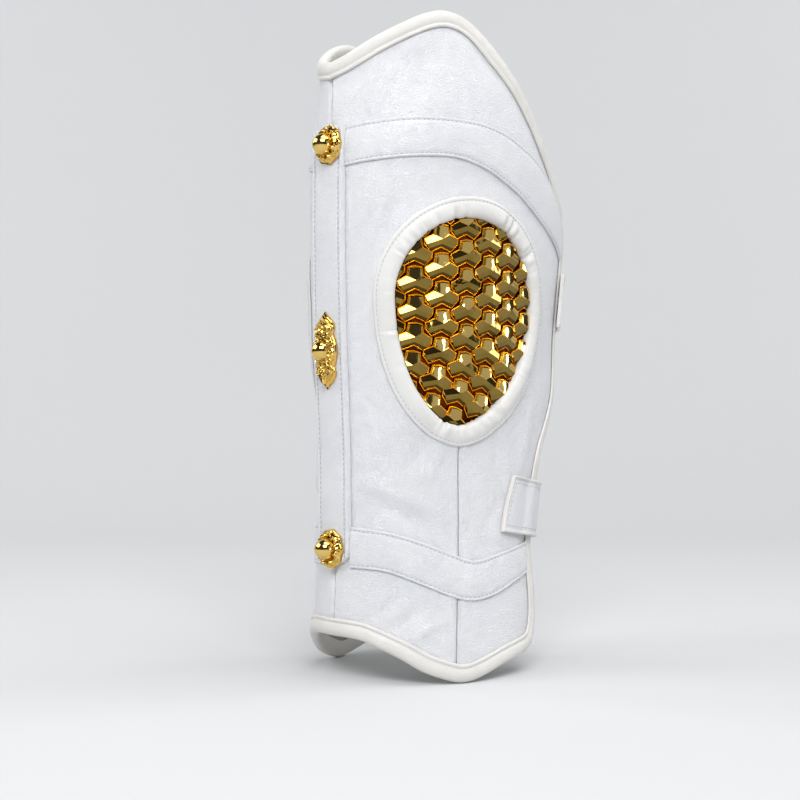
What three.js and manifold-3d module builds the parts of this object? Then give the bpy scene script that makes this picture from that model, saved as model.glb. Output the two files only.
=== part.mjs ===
// A padded leather shin guard: two moulded side panels joined by a front seam and open down the back.
// Each side has an oval window filled with interlocking three-armed metal scales.
// A front strip carries three cast medallions, two stitched bands cross each panel,
// one folded binding runs round the whole edge, and two tabs close the back.
//
// Millimetres. +Z is up the shin, -Y is the front of the leg, +X the side that the tabs close on.
// The origin is on the leg's axis, level with the lowest point of the hem.
// A place on the wall is given unrolled: along is the run round the leg from the front, up is its height.

import * as THREE from "three";
import Module from "manifold-3d";

// The whole guard, measured over its leather.
const guardHeight = 418;
const calfHalfWidth = 60;
const calfFrontDepth = 82.5;
const calfBackDepth = 103;
const panelWidth = 216;
const farRimDrop = 5;

// The wall and what is sewn to it.
const wallThickness = 3;
const seatGap = 0.45;
const roundGap = 0.65;
const seamGap = 0.3;
const bindingWidth = 9.5;
const bindingThickness = 1.3;
const bindingReveal = 1.6;
const bandThickness = 1.3;

// The front strip.
const stripWidth = 30;
const stripThickness = 1.8;
const stripTop = 345.5;
const stripBottom = 73;
const stripCornerRadius = 8;

// The windows. The oval is widest nearer its top.
const windowHalfWidth = 54.5;
const windowRise = 53.5;
const windowDrop = 79.5;
const windowUp = 0.567 * guardHeight;
const windowAlong = 99.5;
const windowSweep = 14;
const windowTaper = 1.2;
const frameWidth = 11.5;
const frameThickness = 2.2;
const frameLip = 1.1;

// The scales in a window.
const scaleColumnPitch = 17.7;
const scaleRowPitch = 17.4;
const scaleFieldAside = -4.5;
const scaleFieldLift = -5.7;
const scaleRidge = 3.4;
const scaleRootDepth = 0.5;
const backingThickness = 1.6;
const backingMargin = 5;
const backingRise = 2.4;

// The medallions.
const roundRadius = 12.2;
const plateThickness = 1.3;
const reliefHeight = 5.6;
const domeRadius = 6.4;
const domeHeight = 12.2;
const leafRadius = 4.2;
const longHalfHeight = 24.5;
const longHalfWidth = 9.2;
const upperMedallionUp = 334;
const upperMedallionAside = 3.5;
const middleMedallionUp = 206;
const lowerMedallionUp = 81.5;

// The tabs.
const tabHeight = 36;
const tabThickness = 2;
const upperTabUp = 243;
const lowerTabUp = 109;
const upperTabLap = 14;
const lowerTabLap = 41.5;
const tabAnchorLap = 22;
const tabSlope = -0.15;
const tabSlant = 0.08;

const radiansPerDegree = Math.PI / 180;
const wasm = await Module();
wasm.setup();

// The leg's sections from the hem up. up is a share of the height. side, front and back are shares of the
// calf's half width, front depth and back depth. middle is where the widest place lies, in front depths.
// keen is over 1 where the front is a fold and under 1 where it is broad. reach is a panel's share of its full width.
const sections = [
  { up: 0.0, side: 1.13, front: 0.975, back: 0.767, middle: 0.0, keen: 0.95, reach: 0.72 },
  { up: 0.1, side: 1.07, front: 0.962, back: 0.752, middle: 0.0, keen: 0.92, reach: 0.745 },
  { up: 0.2, side: 0.985, front: 0.941, back: 0.723, middle: 0.0, keen: 0.87, reach: 0.742 },
  { up: 0.32, side: 0.95, front: 0.945, back: 0.825, middle: 0.0, keen: 0.86, reach: 0.812 },
  { up: 0.42, side: 0.93, front: 0.965, back: 0.965, middle: 0.0, keen: 0.86, reach: 0.95 },
  { up: 0.52, side: 0.95, front: 0.987, back: 0.985, middle: 0.0, keen: 0.86, reach: 0.987 },
  { up: 0.67, side: 1.0, front: 1.0, back: 1.055, middle: 0.0, keen: 0.86, reach: 1.0 },
  { up: 0.73, side: 1.02, front: 1.0, back: 1.035, middle: 0.0, keen: 0.88, reach: 1.0 },
  { up: 0.78, side: 1.035, front: 0.997, back: 0.958, middle: 0.0, keen: 0.92, reach: 0.997 },
  { up: 0.84, side: 1.02, front: 0.988, back: 0.855, middle: -0.024, keen: 1.05, reach: 0.983 },
  { up: 0.92, side: 0.95, front: 0.977, back: 0.745, middle: -0.073, keen: 1.2, reach: 0.963 },
  { up: 1.0, side: 0.83, front: 0.97, back: 0.64, middle: -0.145, keen: 1.3, reach: 0.944 },
];

// The rim and the hem. share is how far round the panel from the seam, up is a share of the height.
const rim = [
  { share: 0.0, up: 0.922 },
  { share: 0.05, up: 0.929 },
  { share: 0.1, up: 0.941 },
  { share: 0.15, up: 0.955 },
  { share: 0.23, up: 0.975 },
  { share: 0.3, up: 0.991 },
  { share: 0.36, up: 0.998 },
  { share: 0.42, up: 0.994 },
  { share: 0.48, up: 0.98 },
  { share: 0.56, up: 0.951 },
  { share: 0.66, up: 0.91 },
  { share: 0.76, up: 0.859 },
  { share: 0.83, up: 0.818 },
  { share: 0.89, up: 0.781 },
  { share: 0.94, up: 0.747 },
  { share: 0.97, up: 0.718 },
  { share: 0.99, up: 0.686 },
  { share: 1.0, up: 0.65 },
];
const hem = [
  { share: 0.0, up: 0.069 },
  { share: 0.08, up: 0.069 },
  { share: 0.157, up: 0.066 },
  { share: 0.243, up: 0.054 },
  { share: 0.327, up: 0.0395 },
  { share: 0.408, up: 0.023 },
  { share: 0.49, up: 0.0117 },
  { share: 0.56, up: 0.005 },
  { share: 0.61, up: 0.0055 },
  { share: 0.672, up: 0.012 },
  { share: 0.78, up: 0.0258 },
  { share: 0.86, up: 0.0323 },
  { share: 0.928, up: 0.038 },
  { share: 0.965, up: 0.047 },
  { share: 0.985, up: 0.062 },
  { share: 1.0, up: 0.09 },
];

// The bands' lower and upper edges, as shares of the height, from the strip to the back.
const upperBand = [
  { share: 0.0, low: 0.762, high: 0.82 },
  { share: 0.12, low: 0.769, high: 0.829 },
  { share: 0.27, low: 0.777, high: 0.837 },
  { share: 0.4, low: 0.778, high: 0.837 },
  { share: 0.5, low: 0.766, high: 0.833 },
  { share: 0.59, low: 0.747, high: 0.823 },
  { share: 0.66, low: 0.73, high: 0.81 },
  { share: 0.73, low: 0.709, high: 0.796 },
  { share: 0.82, low: 0.684, high: 0.772 },
  { share: 0.9, low: 0.662, high: 0.742 },
  { share: 1.0, low: 0.632, high: 0.7 },
];
const lowerBand = [
  { share: 0.0, low: 0.17, high: 0.232 },
  { share: 0.094, low: 0.169, high: 0.23 },
  { share: 0.24, low: 0.165, high: 0.224 },
  { share: 0.373, low: 0.147, high: 0.209 },
  { share: 0.516, low: 0.125, high: 0.188 },
  { share: 0.602, low: 0.119, high: 0.178 },
  { share: 0.707, low: 0.125, high: 0.184 },
  { share: 0.82, low: 0.139, high: 0.192 },
  { share: 1.0, low: 0.155, high: 0.2 },
];

// A smooth curve through one column of a table.
function readTable(rows, key, column, at) {
  const last = rows.length - 1;
  if (at <= rows[0][key]) return rows[0][column];
  if (at >= rows[last][key]) return rows[last][column];
  let i = 0;
  while (at > rows[i + 1][key]) i += 1;
  const slope = (j) => {
    const before = rows[Math.max(j - 1, 0)];
    const after = rows[Math.min(j + 1, last)];
    return (after[column] - before[column]) / (after[key] - before[key]);
  };
  const width = rows[i + 1][key] - rows[i][key];
  const t = (at - rows[i][key]) / width;
  const rise = rows[i + 1][column] - rows[i][column];
  const bend = slope(i) * t * (1 - t) ** 2 - slope(i + 1) * t * t * (1 - t);
  return rows[i][column] + rise * t * t * (3 - 2 * t) + width * bend;
}

// Half of the wall's outer section at a height, from the front round to the back, with the run to each point.
const sectionSteps = 72;
const sectionCache = new Map();
function halfSection(up) {
  const key = Math.round(up * 1000);
  if (sectionCache.has(key)) return sectionCache.get(key);
  const at = up / guardHeight;
  const side = calfHalfWidth * readTable(sections, "up", "side", at);
  const front = calfFrontDepth * readTable(sections, "up", "front", at);
  const back = calfBackDepth * readTable(sections, "up", "back", at);
  const middle = calfFrontDepth * readTable(sections, "up", "middle", at);
  const keen = readTable(sections, "up", "keen", at);
  const points = [];
  let run = 0;
  for (let i = 0; i <= sectionSteps; i += 1) {
    const turn = (Math.PI * i) / sectionSteps;
    const forward = 2 * i <= sectionSteps;
    const x = side * Math.sin(turn) ** (forward ? keen : 1);
    const y = middle - (forward ? front + middle : back - middle) * Math.cos(turn);
    if (i > 0) run += Math.hypot(x - points[i - 1].x, y - points[i - 1].y);
    points.push({ x, y, run });
  }
  points[sectionSteps].x = 0;
  sectionCache.set(key, points);
  return points;
}

// A point of the wall's outer face. along is positive towards +X.
function facePoint(along, up) {
  const points = halfSection(up);
  const whole = 2 * points[sectionSteps].run;
  let run = ((along % whole) + whole) % whole;
  let mirror = 1;
  if (run > whole / 2) {
    run = whole - run;
    mirror = -1;
  }
  let low = 0;
  let high = sectionSteps;
  while (high - low > 1) {
    const middle = (low + high) >> 1;
    if (points[middle].run > run) high = middle;
    else low = middle;
  }
  const t = (run - points[low].run) / (points[high].run - points[low].run);
  const x = points[low].x + (points[high].x - points[low].x) * t;
  const y = points[low].y + (points[high].y - points[low].y) * t;
  return new THREE.Vector3(mirror * x, y, up);
}

const probe = 2.5;
function faceNormal(along, up) {
  const across = facePoint(along + probe, up).sub(facePoint(along - probe, up));
  const upward = facePoint(along, up + probe).sub(facePoint(along, up - probe));
  return across.cross(upward).normalize();
}

// A point at a distance out from the wall's outer face.
function wallPoint(along, up, out) {
  return facePoint(along, up).addScaledVector(faceNormal(along, up), out);
}

const reachAt = (up) => panelWidth * readTable(sections, "up", "reach", up / guardHeight);
const rimUp = (share, drop = 0) => {
  const fade = THREE.MathUtils.smoothstep(share, 0, 0.16) - THREE.MathUtils.smoothstep(share, 0.55, 0.85);
  return guardHeight * readTable(rim, "share", "up", share) - drop * fade;
};
const hemUp = (share) => guardHeight * readTable(hem, "share", "up", share);
const mix = (a, b, t) => a + (b - a) * t;
const evenly = (count, from, to) => Array.from({ length: count + 1 }, (_, i) => mix(from, to, i / count));

function meshOf(positions, indices) {
  const geometry = new THREE.BufferGeometry();
  geometry.setAttribute("position", new THREE.Float32BufferAttribute(positions, 3));
  geometry.setIndex(indices);
  return geometry;
}

// A closed slab between two grids of points. Each grid is a list of columns from the front to the back,
// each column a list of points from the bottom up.
function slab(outer, inner) {
  const columns = outer.length;
  const rows = outer[0].length;
  const positions = [...outer, ...inner].flat().flatMap((p) => [p.x, p.y, p.z]);
  const over = (i, j) => i * rows + j;
  const under = (i, j) => (columns + i) * rows + j;
  const indices = [];
  for (let i = 0; i + 1 < columns; i += 1) {
    for (let j = 0; j + 1 < rows; j += 1) {
      indices.push(over(i, j), over(i + 1, j), over(i + 1, j + 1));
      indices.push(over(i, j), over(i + 1, j + 1), over(i, j + 1));
      indices.push(under(i, j), under(i + 1, j + 1), under(i + 1, j));
      indices.push(under(i, j), under(i, j + 1), under(i + 1, j + 1));
    }
  }
  const edge = [];
  for (let i = 0; i + 1 < columns; i += 1) edge.push([i, 0]);
  for (let j = 0; j + 1 < rows; j += 1) edge.push([columns - 1, j]);
  for (let i = columns - 1; i > 0; i -= 1) edge.push([i, rows - 1]);
  for (let j = rows - 1; j > 0; j -= 1) edge.push([0, j]);
  edge.forEach(([i, j], k) => {
    const [m, n] = edge[(k + 1) % edge.length];
    indices.push(over(i, j), under(i, j), under(m, n));
    indices.push(over(i, j), under(m, n), over(m, n));
  });
  return meshOf(positions, indices);
}

// A closed ring from sections that all have the same number of points, each one lofted to the next.
function ring(stations) {
  const size = stations[0].length;
  const positions = stations.flat().flatMap((p) => [p.x, p.y, p.z]);
  const indices = [];
  stations.forEach((_, i) => {
    const next = (i + 1) % stations.length;
    for (let j = 0; j < size; j += 1) {
      const k = (j + 1) % size;
      indices.push(i * size + j, next * size + j, next * size + k);
      indices.push(i * size + j, next * size + k, i * size + k);
    }
  });
  return meshOf(positions, indices);
}

// A closed body from rings of points stacked from its floor to its top, with a fan on each end.
function stack(rings, floor, top) {
  const size = rings[0].length;
  const positions = [...rings.flat(), floor, top].flatMap((p) => [p.x, p.y, p.z]);
  const floorIndex = rings.length * size;
  const indices = [];
  for (let j = 0; j < size; j += 1) {
    const k = (j + 1) % size;
    for (let i = 0; i + 1 < rings.length; i += 1) {
      indices.push(i * size + j, i * size + k, (i + 1) * size + k);
      indices.push(i * size + j, (i + 1) * size + k, (i + 1) * size + j);
    }
    indices.push(floorIndex, k, j);
    indices.push(floorIndex + 1, (rings.length - 1) * size + j, (rings.length - 1) * size + k);
  }
  return meshOf(positions, indices);
}

function toSolid(geometry) {
  const vertProperties = new Float32Array(geometry.attributes.position.array);
  const triVerts = new Uint32Array(geometry.index.array);
  return new wasm.Manifold(new wasm.Mesh({ numProp: 3, vertProperties, triVerts }));
}

function toGeometry(solid) {
  const mesh = solid.getMesh();
  return meshOf(Array.from(mesh.vertProperties), Array.from(mesh.triVerts));
}

// The same body on the other side of the leg.
function mirrored(geometry) {
  const positions = Array.from(geometry.attributes.position.array, (v, i) => (i % 3 === 0 ? -v : v));
  const indices = Array.from(geometry.index.array);
  for (let i = 0; i < indices.length; i += 3) [indices[i], indices[i + 1]] = [indices[i + 1], indices[i]];
  return meshOf(positions, indices);
}

// Where a window's upright middle line runs: it bends forward below the widest place.
function windowMiddle(up) {
  const share = Math.max(windowUp - up, 0) / windowDrop;
  return windowAlong - windowSweep * share * share;
}

// A point of a window's oval at an angle, let out by a margin, unrolled.
function windowPlace(angle, margin) {
  const upper = Math.sin(angle) > 0;
  const up = windowUp + ((upper ? windowRise : windowDrop) + margin) * Math.sin(angle);
  const span = Math.abs(Math.cos(angle)) ** (upper ? 1 : windowTaper);
  return { along: windowMiddle(up) + Math.sign(Math.cos(angle)) * (windowHalfWidth + margin) * span, up };
}
const windowPoint = (angle, margin, out) => {
  const place = windowPlace(angle, margin);
  return wallPoint(place.along, place.up, out);
};
const windowAngles = evenly(32, 0, 2 * Math.PI).slice(0, -1);

// Where the panel's columns and rows stand. The binding has its own sections at the same places.
const panelShares = [...evenly(2, 0, 0.09), ...evenly(12, 0.15, 0.87), 0.92, 0.955, 0.98, 0.992, 1];
const panelRows = evenly(20, 0, 1);
const edgePlace = (share, up) => new THREE.Vector2(share * reachAt(up), up);
const edgeOf = (drop) => [
  ...panelShares.map((share) => edgePlace(share, rimUp(share, drop))),
  ...panelRows.slice(1, -1).map((row) => edgePlace(1, mix(rimUp(1), hemUp(1), row))),
  ...panelShares.toReversed().map((share) => edgePlace(share, hemUp(share))),
];
const panelEdge = edgeOf(0);

// The shortest run from an unrolled place to the panel's rim, rear edge or hem.
function runToEdge(spot) {
  let nearest = Infinity;
  for (let i = 0; i + 1 < panelEdge.length; i += 1) {
    const segment = panelEdge[i + 1].clone().sub(panelEdge[i]);
    const offset = spot.clone().sub(panelEdge[i]);
    const t = THREE.MathUtils.clamp(offset.dot(segment) / segment.lengthSq(), 0, 1);
    nearest = Math.min(nearest, offset.distanceTo(segment.multiplyScalar(t)));
  }
  return nearest;
}

// Side panel: a moulded wall from the seam to the rear edge, with the window cut through it.
function buildPanel(drop) {
  const grid = (out) => panelShares.map((share) => panelRows.map((row) => {
    const up = mix(hemUp(share), rimUp(share, drop), row);
    const point = wallPoint(seamGap / 2 + share * (reachAt(up) - seamGap / 2), up, out);
    if (share === 0 || point.x < seamGap / 2) point.x = seamGap / 2;
    return point;
  }));
  const panel = toSolid(slab(grid(0), grid(-wallThickness)));
  const cut = 3 * wallThickness;
  const cutter = stack(
    [-cut, cut].map((out) => windowAngles.map((angle) => windowPoint(angle, 0, out))),
    wallPoint(windowAlong, windowUp, -cut),
    wallPoint(windowAlong, windowUp, cut),
  );
  return toGeometry(panel.subtract(toSolid(cutter)));
}

// Edge binding: one folded strip, U-shaped in section, that closes over the rim, the rear edges and the hem.
function buildBinding() {
  const far = edgeOf(farRimDrop).slice(1, -1).reverse().map((p) => new THREE.Vector2(-p.x, p.y));
  const path = [...panelEdge, ...far];
  const profile = [
    { inward: -bindingReveal, out: -wallThickness / 2 },
    { inward: 0, out: seatGap + bindingThickness },
    { inward: bindingWidth, out: seatGap + bindingThickness },
    { inward: bindingWidth, out: seatGap },
    { inward: -seatGap, out: seatGap },
    { inward: -seatGap, out: -wallThickness - seatGap },
    { inward: bindingWidth, out: -wallThickness - seatGap },
    { inward: bindingWidth, out: -wallThickness - seatGap - bindingThickness },
    { inward: 0, out: -wallThickness - seatGap - bindingThickness },
  ];
  profile.reverse();
  const stations = path.map((spot, i) => {
    const ahead = path[(i + 1) % path.length];
    const behind = path[(i + path.length - 1) % path.length];
    const step = ahead.clone().sub(behind).normalize();
    const inward = new THREE.Vector2(step.y, -step.x);
    return profile.map((corner) => {
      const at = spot.clone().addScaledVector(inward, corner.inward);
      return wallPoint(at.x, at.y, corner.out);
    });
  });
  return ring(stations);
}

// Front strip: a flat strip down the shin with rounded lower corners.
function buildStrip() {
  const halfWidth = stripWidth / 2;
  const lift = (aside) => {
    const inset = Math.max(Math.abs(aside) - (halfWidth - stripCornerRadius), 0);
    return stripCornerRadius - Math.sqrt(stripCornerRadius ** 2 - inset ** 2);
  };
  const asides = [-1, -0.88, -0.5, 0, 0.5, 0.88, 1].map((share) => share * halfWidth);
  const grid = (place) => asides.map((aside) => evenly(9, stripBottom + lift(aside), stripTop)
    .map((up) => place(aside, up)));
  const flatFace = (aside, up) => {
    const point = wallPoint(0, up, seatGap + stripThickness);
    point.x = aside;
    return point;
  };
  return slab(grid(flatFace), grid((aside, up) => wallPoint(aside, up, seatGap)));
}

// Bands: curved strips from the front strip back to the binding.
function buildBand(table) {
  const start = stripWidth / 2 + seatGap;
  const clear = bindingWidth + 2 * seatGap;
  const spotAt = (step, up) => new THREE.Vector2(mix(start, reachAt(up) - clear, step), up);
  const topAt = (step, share) => {
    let up = guardHeight * readTable(table, "share", "high", share);
    while (runToEdge(spotAt(step, up)) < clear - seatGap / 2) up -= seatGap / 2;
    return up;
  };
  const columns = evenly(18, 0, 1).map((step) => {
    const rough = guardHeight * readTable(table, "share", "high", step);
    const share = spotAt(step, rough).x / reachAt(rough);
    const low = guardHeight * readTable(table, "share", "low", share);
    const high = topAt(step, share);
    return evenly(2, low, high).map((up) => spotAt(step, up));
  });
  const grid = (out) => columns.map((column) => column.map((spot) => wallPoint(spot.x, spot.y, out)));
  return slab(grid(roundGap + bandThickness), grid(roundGap));
}

// Window frame: a soft ring sewn round the oval, folded in over the wall's cut edge.
function buildFrame() {
  const profile = [
    { margin: -frameLip - roundGap, out: -wallThickness },
    { margin: -roundGap, out: -wallThickness },
    { margin: -roundGap, out: roundGap },
    { margin: frameWidth, out: roundGap },
    { margin: frameWidth * 0.97, out: roundGap + frameThickness * 0.6 },
    { margin: frameWidth * 0.45, out: roundGap + frameThickness },
    { margin: -frameLip * 0.6, out: roundGap + frameThickness * 0.7 },
  ];
  return ring(windowAngles.map((angle) => profile.map((corner) => windowPoint(angle, corner.margin, corner.out))));
}

// A scale: an upright stem over two drooping arms. aside and up are the corners of its right half from the top
// round to the notch, as shares of the pitches, and height is a share of the way from its root to its crest.
const scaleOutline = [
  { aside: 0.0, up: 0.54, height: 0.2 },
  { aside: 0.282, up: 0.494, height: 0.2 },
  { aside: 0.328, up: 0.172, height: 0.2 },
  { aside: 0.667, up: 0.006, height: 0 },
  { aside: 0.373, up: -0.465, height: 0 },
  { aside: 0.0, up: -0.391, height: 0 },
];
const scaleCrown = { aside: 0, up: 0.437, height: 0.85 };
const scaleHeart = { aside: 0, up: 0, height: 1 };
const scaleRidgeEnd = { aside: 0.559, up: -0.172, height: 0.55 };

// Scale field: a backing sheet behind the wall and rows of scales that fill the window.
function buildScales() {
  const inset = -frameLip - 2 * roundGap;
  const behind = -wallThickness - roundGap;
  const fieldAngles = windowAngles.filter((_, i) => i % 2 === 0);
  const layers = [
    { size: 1, margin: backingMargin, out: behind - backingThickness },
    { size: 1, margin: backingMargin, out: behind },
    { size: 1, margin: inset, out: behind },
    { size: 1, margin: inset, out: behind + backingRise },
    { size: 0.5, margin: inset, out: behind + backingRise },
  ];
  const backing = stack(
    layers.map((layer) => fieldAngles.map((angle) => {
      const spot = windowPlace(angle, layer.margin);
      const along = mix(windowAlong, spot.along, layer.size);
      return wallPoint(along, mix(windowUp, spot.up, layer.size), layer.out);
    })),
    wallPoint(windowAlong, windowUp, behind - backingThickness),
    wallPoint(windowAlong, windowUp, behind + backingRise),
  );
  const crestOut = behind + backingRise + scaleRidge;
  const rootOut = behind + backingRise - scaleRootDepth;
  const scaleAt = (column, row) => {
    const lift = scaleFieldLift + row * scaleRowPitch + (column % 2 === 0 ? 0 : scaleRowPitch / 2);
    const middle = windowMiddle(windowUp + lift) + scaleFieldAside + column * scaleColumnPitch;
    const put = (corner, side) => wallPoint(
      middle + side * corner.aside * scaleColumnPitch,
      windowUp + lift + corner.up * scaleRowPitch,
      mix(rootOut, crestOut, corner.height),
    );
    const right = scaleOutline.map((corner) => put(corner, 1));
    const left = scaleOutline.slice(1, -1).reverse().map((corner) => put(corner, -1));
    const ridges = [1, -1].map((side) => put(scaleRidgeEnd, side));
    const root = wallPoint(middle, windowUp + lift, behind);
    const points = [...right, ...left, put(scaleCrown, 1), put(scaleHeart, 1), ...ridges, root];
    const edge = right.length + left.length;
    const [crown, heart, ridge, farRidge, base] = [0, 1, 2, 3, 4].map((k) => edge + k);
    const half = (corner, tip) => [
      [corner(0), crown, corner(1)],
      [corner(1), crown, heart],
      [corner(1), heart, corner(2)],
      [corner(2), heart, tip],
      [corner(2), tip, corner(3)],
      [corner(3), tip, corner(4)],
      [corner(4), tip, heart],
      [corner(4), heart, corner(5)],
    ];
    const faces = [
      ...half((k) => k, ridge),
      ...half((k) => (edge - k) % edge, farRidge).map(([p, q, r]) => [p, r, q]),
      ...Array.from({ length: edge }, (_, k) => [k, (k + 1) % edge, base]),
    ];
    return toSolid(meshOf(points.flatMap((p) => [p.x, p.y, p.z]), faces.flat()));
  };
  const columns = Math.ceil(windowHalfWidth / scaleColumnPitch);
  const rowsDown = Math.ceil(windowDrop / scaleRowPitch);
  const rowsUp = Math.ceil(windowRise / scaleRowPitch);
  const scales = [];
  for (let column = -columns; column <= columns; column += 1) {
    for (let row = -rowsDown; row <= rowsUp; row += 1) {
      const lift = scaleFieldLift + row * scaleRowPitch + (column % 2 === 0 ? 0 : scaleRowPitch / 2);
      const tall = lift > 0 ? windowRise : windowDrop;
      const aside = scaleFieldAside + column * scaleColumnPitch;
      const spread = Math.hypot(aside / windowHalfWidth, lift / tall);
      if (spread < 1) scales.push(scaleAt(column, row));
    }
  }
  const opening = toSolid(stack(
    [behind - backingThickness / 2, 4 * wallThickness]
      .map((out) => fieldAngles.map((angle) => windowPoint(angle, inset - seatGap, out))),
    wallPoint(windowAlong, windowUp, behind - backingThickness / 2),
    wallPoint(windowAlong, windowUp, 4 * wallThickness),
  ));
  const field = scales.reduce((sum, scale) => sum.add(scale)).intersect(opening);
  return toGeometry(toSolid(backing).add(field));
}

// Medallions: cast plates with a beaded ring and a dome. They are built lying face up, their top towards +Y.
const domeRings = [0.3, 0.58, 0.82];
function dome(radius, seat, height, segments) {
  const circle = (size, up) => evenly(segments, 0, 2 * Math.PI).slice(0, -1)
    .map((angle) => new THREE.Vector3(size * Math.cos(angle), size * Math.sin(angle), up));
  const rings = domeRings.map((share) => circle(
    radius * Math.cos((share * Math.PI) / 2),
    seat + (height - seat) * Math.sin((share * Math.PI) / 2),
  ));
  return stack(
    [circle(radius, seat / 2), ...rings],
    new THREE.Vector3(0, 0, seat / 2),
    new THREE.Vector3(0, 0, height),
  );
}

function buildRoundMedallion() {
  const segments = 16;
  const petals = 8;
  const stations = [
    { size: 1, up: 0, wave: 0.05 },
    { size: 1, up: plateThickness, wave: 0.05 },
    { size: 0.9, up: reliefHeight * 0.72, wave: 0.04, ripple: 0.6 },
    { size: 0.74, up: reliefHeight, wave: 0, ripple: 0.4 },
  ];
  const rings = stations.map((station) => evenly(segments, 0, 2 * Math.PI).slice(0, -1).map((angle) => {
    const petal = Math.cos(petals * angle);
    const radius = roundRadius * station.size * (1 + station.wave * petal);
    const up = station.up + (station.ripple ?? 0) * petal;
    return new THREE.Vector3(radius * Math.cos(angle), radius * Math.sin(angle), up);
  }));
  const plate = stack(rings, new THREE.Vector3(0, 0, 0), new THREE.Vector3(0, 0, reliefHeight));
  return toGeometry(toSolid(plate).add(toSolid(dome(domeRadius, reliefHeight * 0.9, domeHeight, segments))));
}

// The long medallion's half outline: a pointed tip, a small lobe, a waist and the round middle lobe.
const longOutline = [
  { aside: 0.0, up: 1.0 },
  { aside: 0.22, up: 0.9 },
  { aside: 0.62, up: 0.8 },
  { aside: 0.92, up: 0.68 },
  { aside: 0.98, up: 0.56 },
  { aside: 0.8, up: 0.42 },
  { aside: 1.0, up: 0.3 },
  { aside: 1.16, up: 0.12 },
  { aside: 1.18, up: 0.0 },
];
function buildLongMedallion() {
  const quarter = longOutline.map((row) => ({ x: row.aside * longHalfWidth, y: row.up * longHalfHeight }));
  const right = [...quarter, ...quarter.slice(0, -1).reverse().map((p) => ({ x: p.x, y: -p.y }))];
  const left = right.slice(1, -1).reverse().map((p) => ({ x: -p.x, y: p.y }));
  const outline = [...right, ...left].reverse();
  const lift = (size, up) => outline.map((p) => new THREE.Vector3(p.x * size, p.y * size, up));
  const plate = stack(
    [lift(1, 0), lift(1, plateThickness), lift(0.8, reliefHeight * 0.66), lift(0.6, reliefHeight * 0.75)],
    new THREE.Vector3(0, 0, 0),
    new THREE.Vector3(0, 0, reliefHeight * 0.75),
  );
  const leaf = (side) => {
    const lobe = dome(leafRadius, reliefHeight * 0.5, reliefHeight, 8);
    lobe.translate(0, side * longHalfHeight * 0.58, 0);
    return toSolid(lobe);
  };
  const middle = toSolid(dome(domeRadius * 0.95, reliefHeight * 0.7, domeHeight - 1, 16));
  return toGeometry(toSolid(plate).add(middle).add(leaf(1)).add(leaf(-1)));
}

// Closure tabs: each is sewn to the far panel, bridges the gap and laps over the near panel.
function buildTab(tabUp, lap) {
  const overBinding = seatGap + bindingThickness + roundGap;
  const edgeRun = bindingReveal + 2;
  const lapSteps = [1, 0.8, 0.62, 0.47, 0.3, 0.12].map((share) => share * lap);
  const outAt = (inFromEdge) => {
    const clear = THREE.MathUtils.smoothstep(inFromEdge, bindingWidth + 4, bindingWidth + 10);
    return mix(overBinding, seatGap, clear);
  };
  const near = [...lapSteps, 0, -edgeRun];
  const far = [-edgeRun, 0, 0.35 * tabAnchorLap, 0.6 * tabAnchorLap, 0.8 * tabAnchorLap, tabAnchorLap];
  const rows = [-0.5, -0.17, 0.17, 0.5];
  const column = (side, inFromEdge, lift) => (thickness) => rows.map((row) => {
    const up = tabUp + lift + row * tabHeight;
    const nearEnd = side > 0 ? THREE.MathUtils.clamp((inFromEdge - 0.5 * lap) / (0.5 * lap), 0, 1) : 0;
    const along = reachAt(up) - inFromEdge + nearEnd * tabSlant * row * tabHeight;
    return wallPoint(side * along, up, outAt(inFromEdge) + thickness);
  });
  const drop = (run) => tabSlope * run;
  const columns = [];
  for (const step of near) columns.push(column(1, step, drop(lap - step)));
  const start = columns[columns.length - 1];
  const end = column(-1, far[0], drop(lap));
  for (const t of [0.2, 0.4, 0.6, 0.8]) {
    columns.push((thickness) => rows.map((_, j) => {
      const point = start(0)[j].clone().lerp(end(0)[j], t);
      point.y += thickness + 1.2 * Math.sin(Math.PI * t);
      return point;
    }));
  }
  for (const step of far) columns.push(column(-1, step, drop(lap)));
  return slab(columns.map((make) => make(tabThickness)), columns.map((make) => make(0)));
}

const leather = new THREE.MeshStandardMaterial({ color: 0xebedee, roughness: 0.5, metalness: 0 });
const trim = new THREE.MeshStandardMaterial({ color: 0xf1ede3, roughness: 0.45, metalness: 0 });
const gold = new THREE.MeshStandardMaterial({ color: 0xe0a92e, roughness: 0.12, metalness: 1 });

const guard = new THREE.Group();
guard.name = "shin_guard";
function add(name, geometry, material) {
  geometry.computeVertexNormals();
  const mesh = new THREE.Mesh(geometry, material);
  mesh.name = name;
  guard.add(mesh);
  return mesh;
}

add("side_panel_right", buildPanel(0), leather);
add("side_panel_left", mirrored(buildPanel(farRimDrop)), leather);
const pairs = [
  { name: "window_frame", geometry: buildFrame(), material: trim },
  { name: "scale_field", geometry: buildScales(), material: gold },
  { name: "upper_band", geometry: buildBand(upperBand), material: leather },
  { name: "lower_band", geometry: buildBand(lowerBand), material: leather },
];
for (const pair of pairs) {
  add(`${pair.name}_right`, pair.geometry, pair.material);
  add(`${pair.name}_left`, mirrored(pair.geometry), pair.material);
}
add("edge_binding", buildBinding(), trim);
add("front_strip", buildStrip(), leather);
add("upper_tab", buildTab(upperTabUp, upperTabLap), leather);
add("lower_tab", buildTab(lowerTabUp, lowerTabLap), leather);

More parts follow.
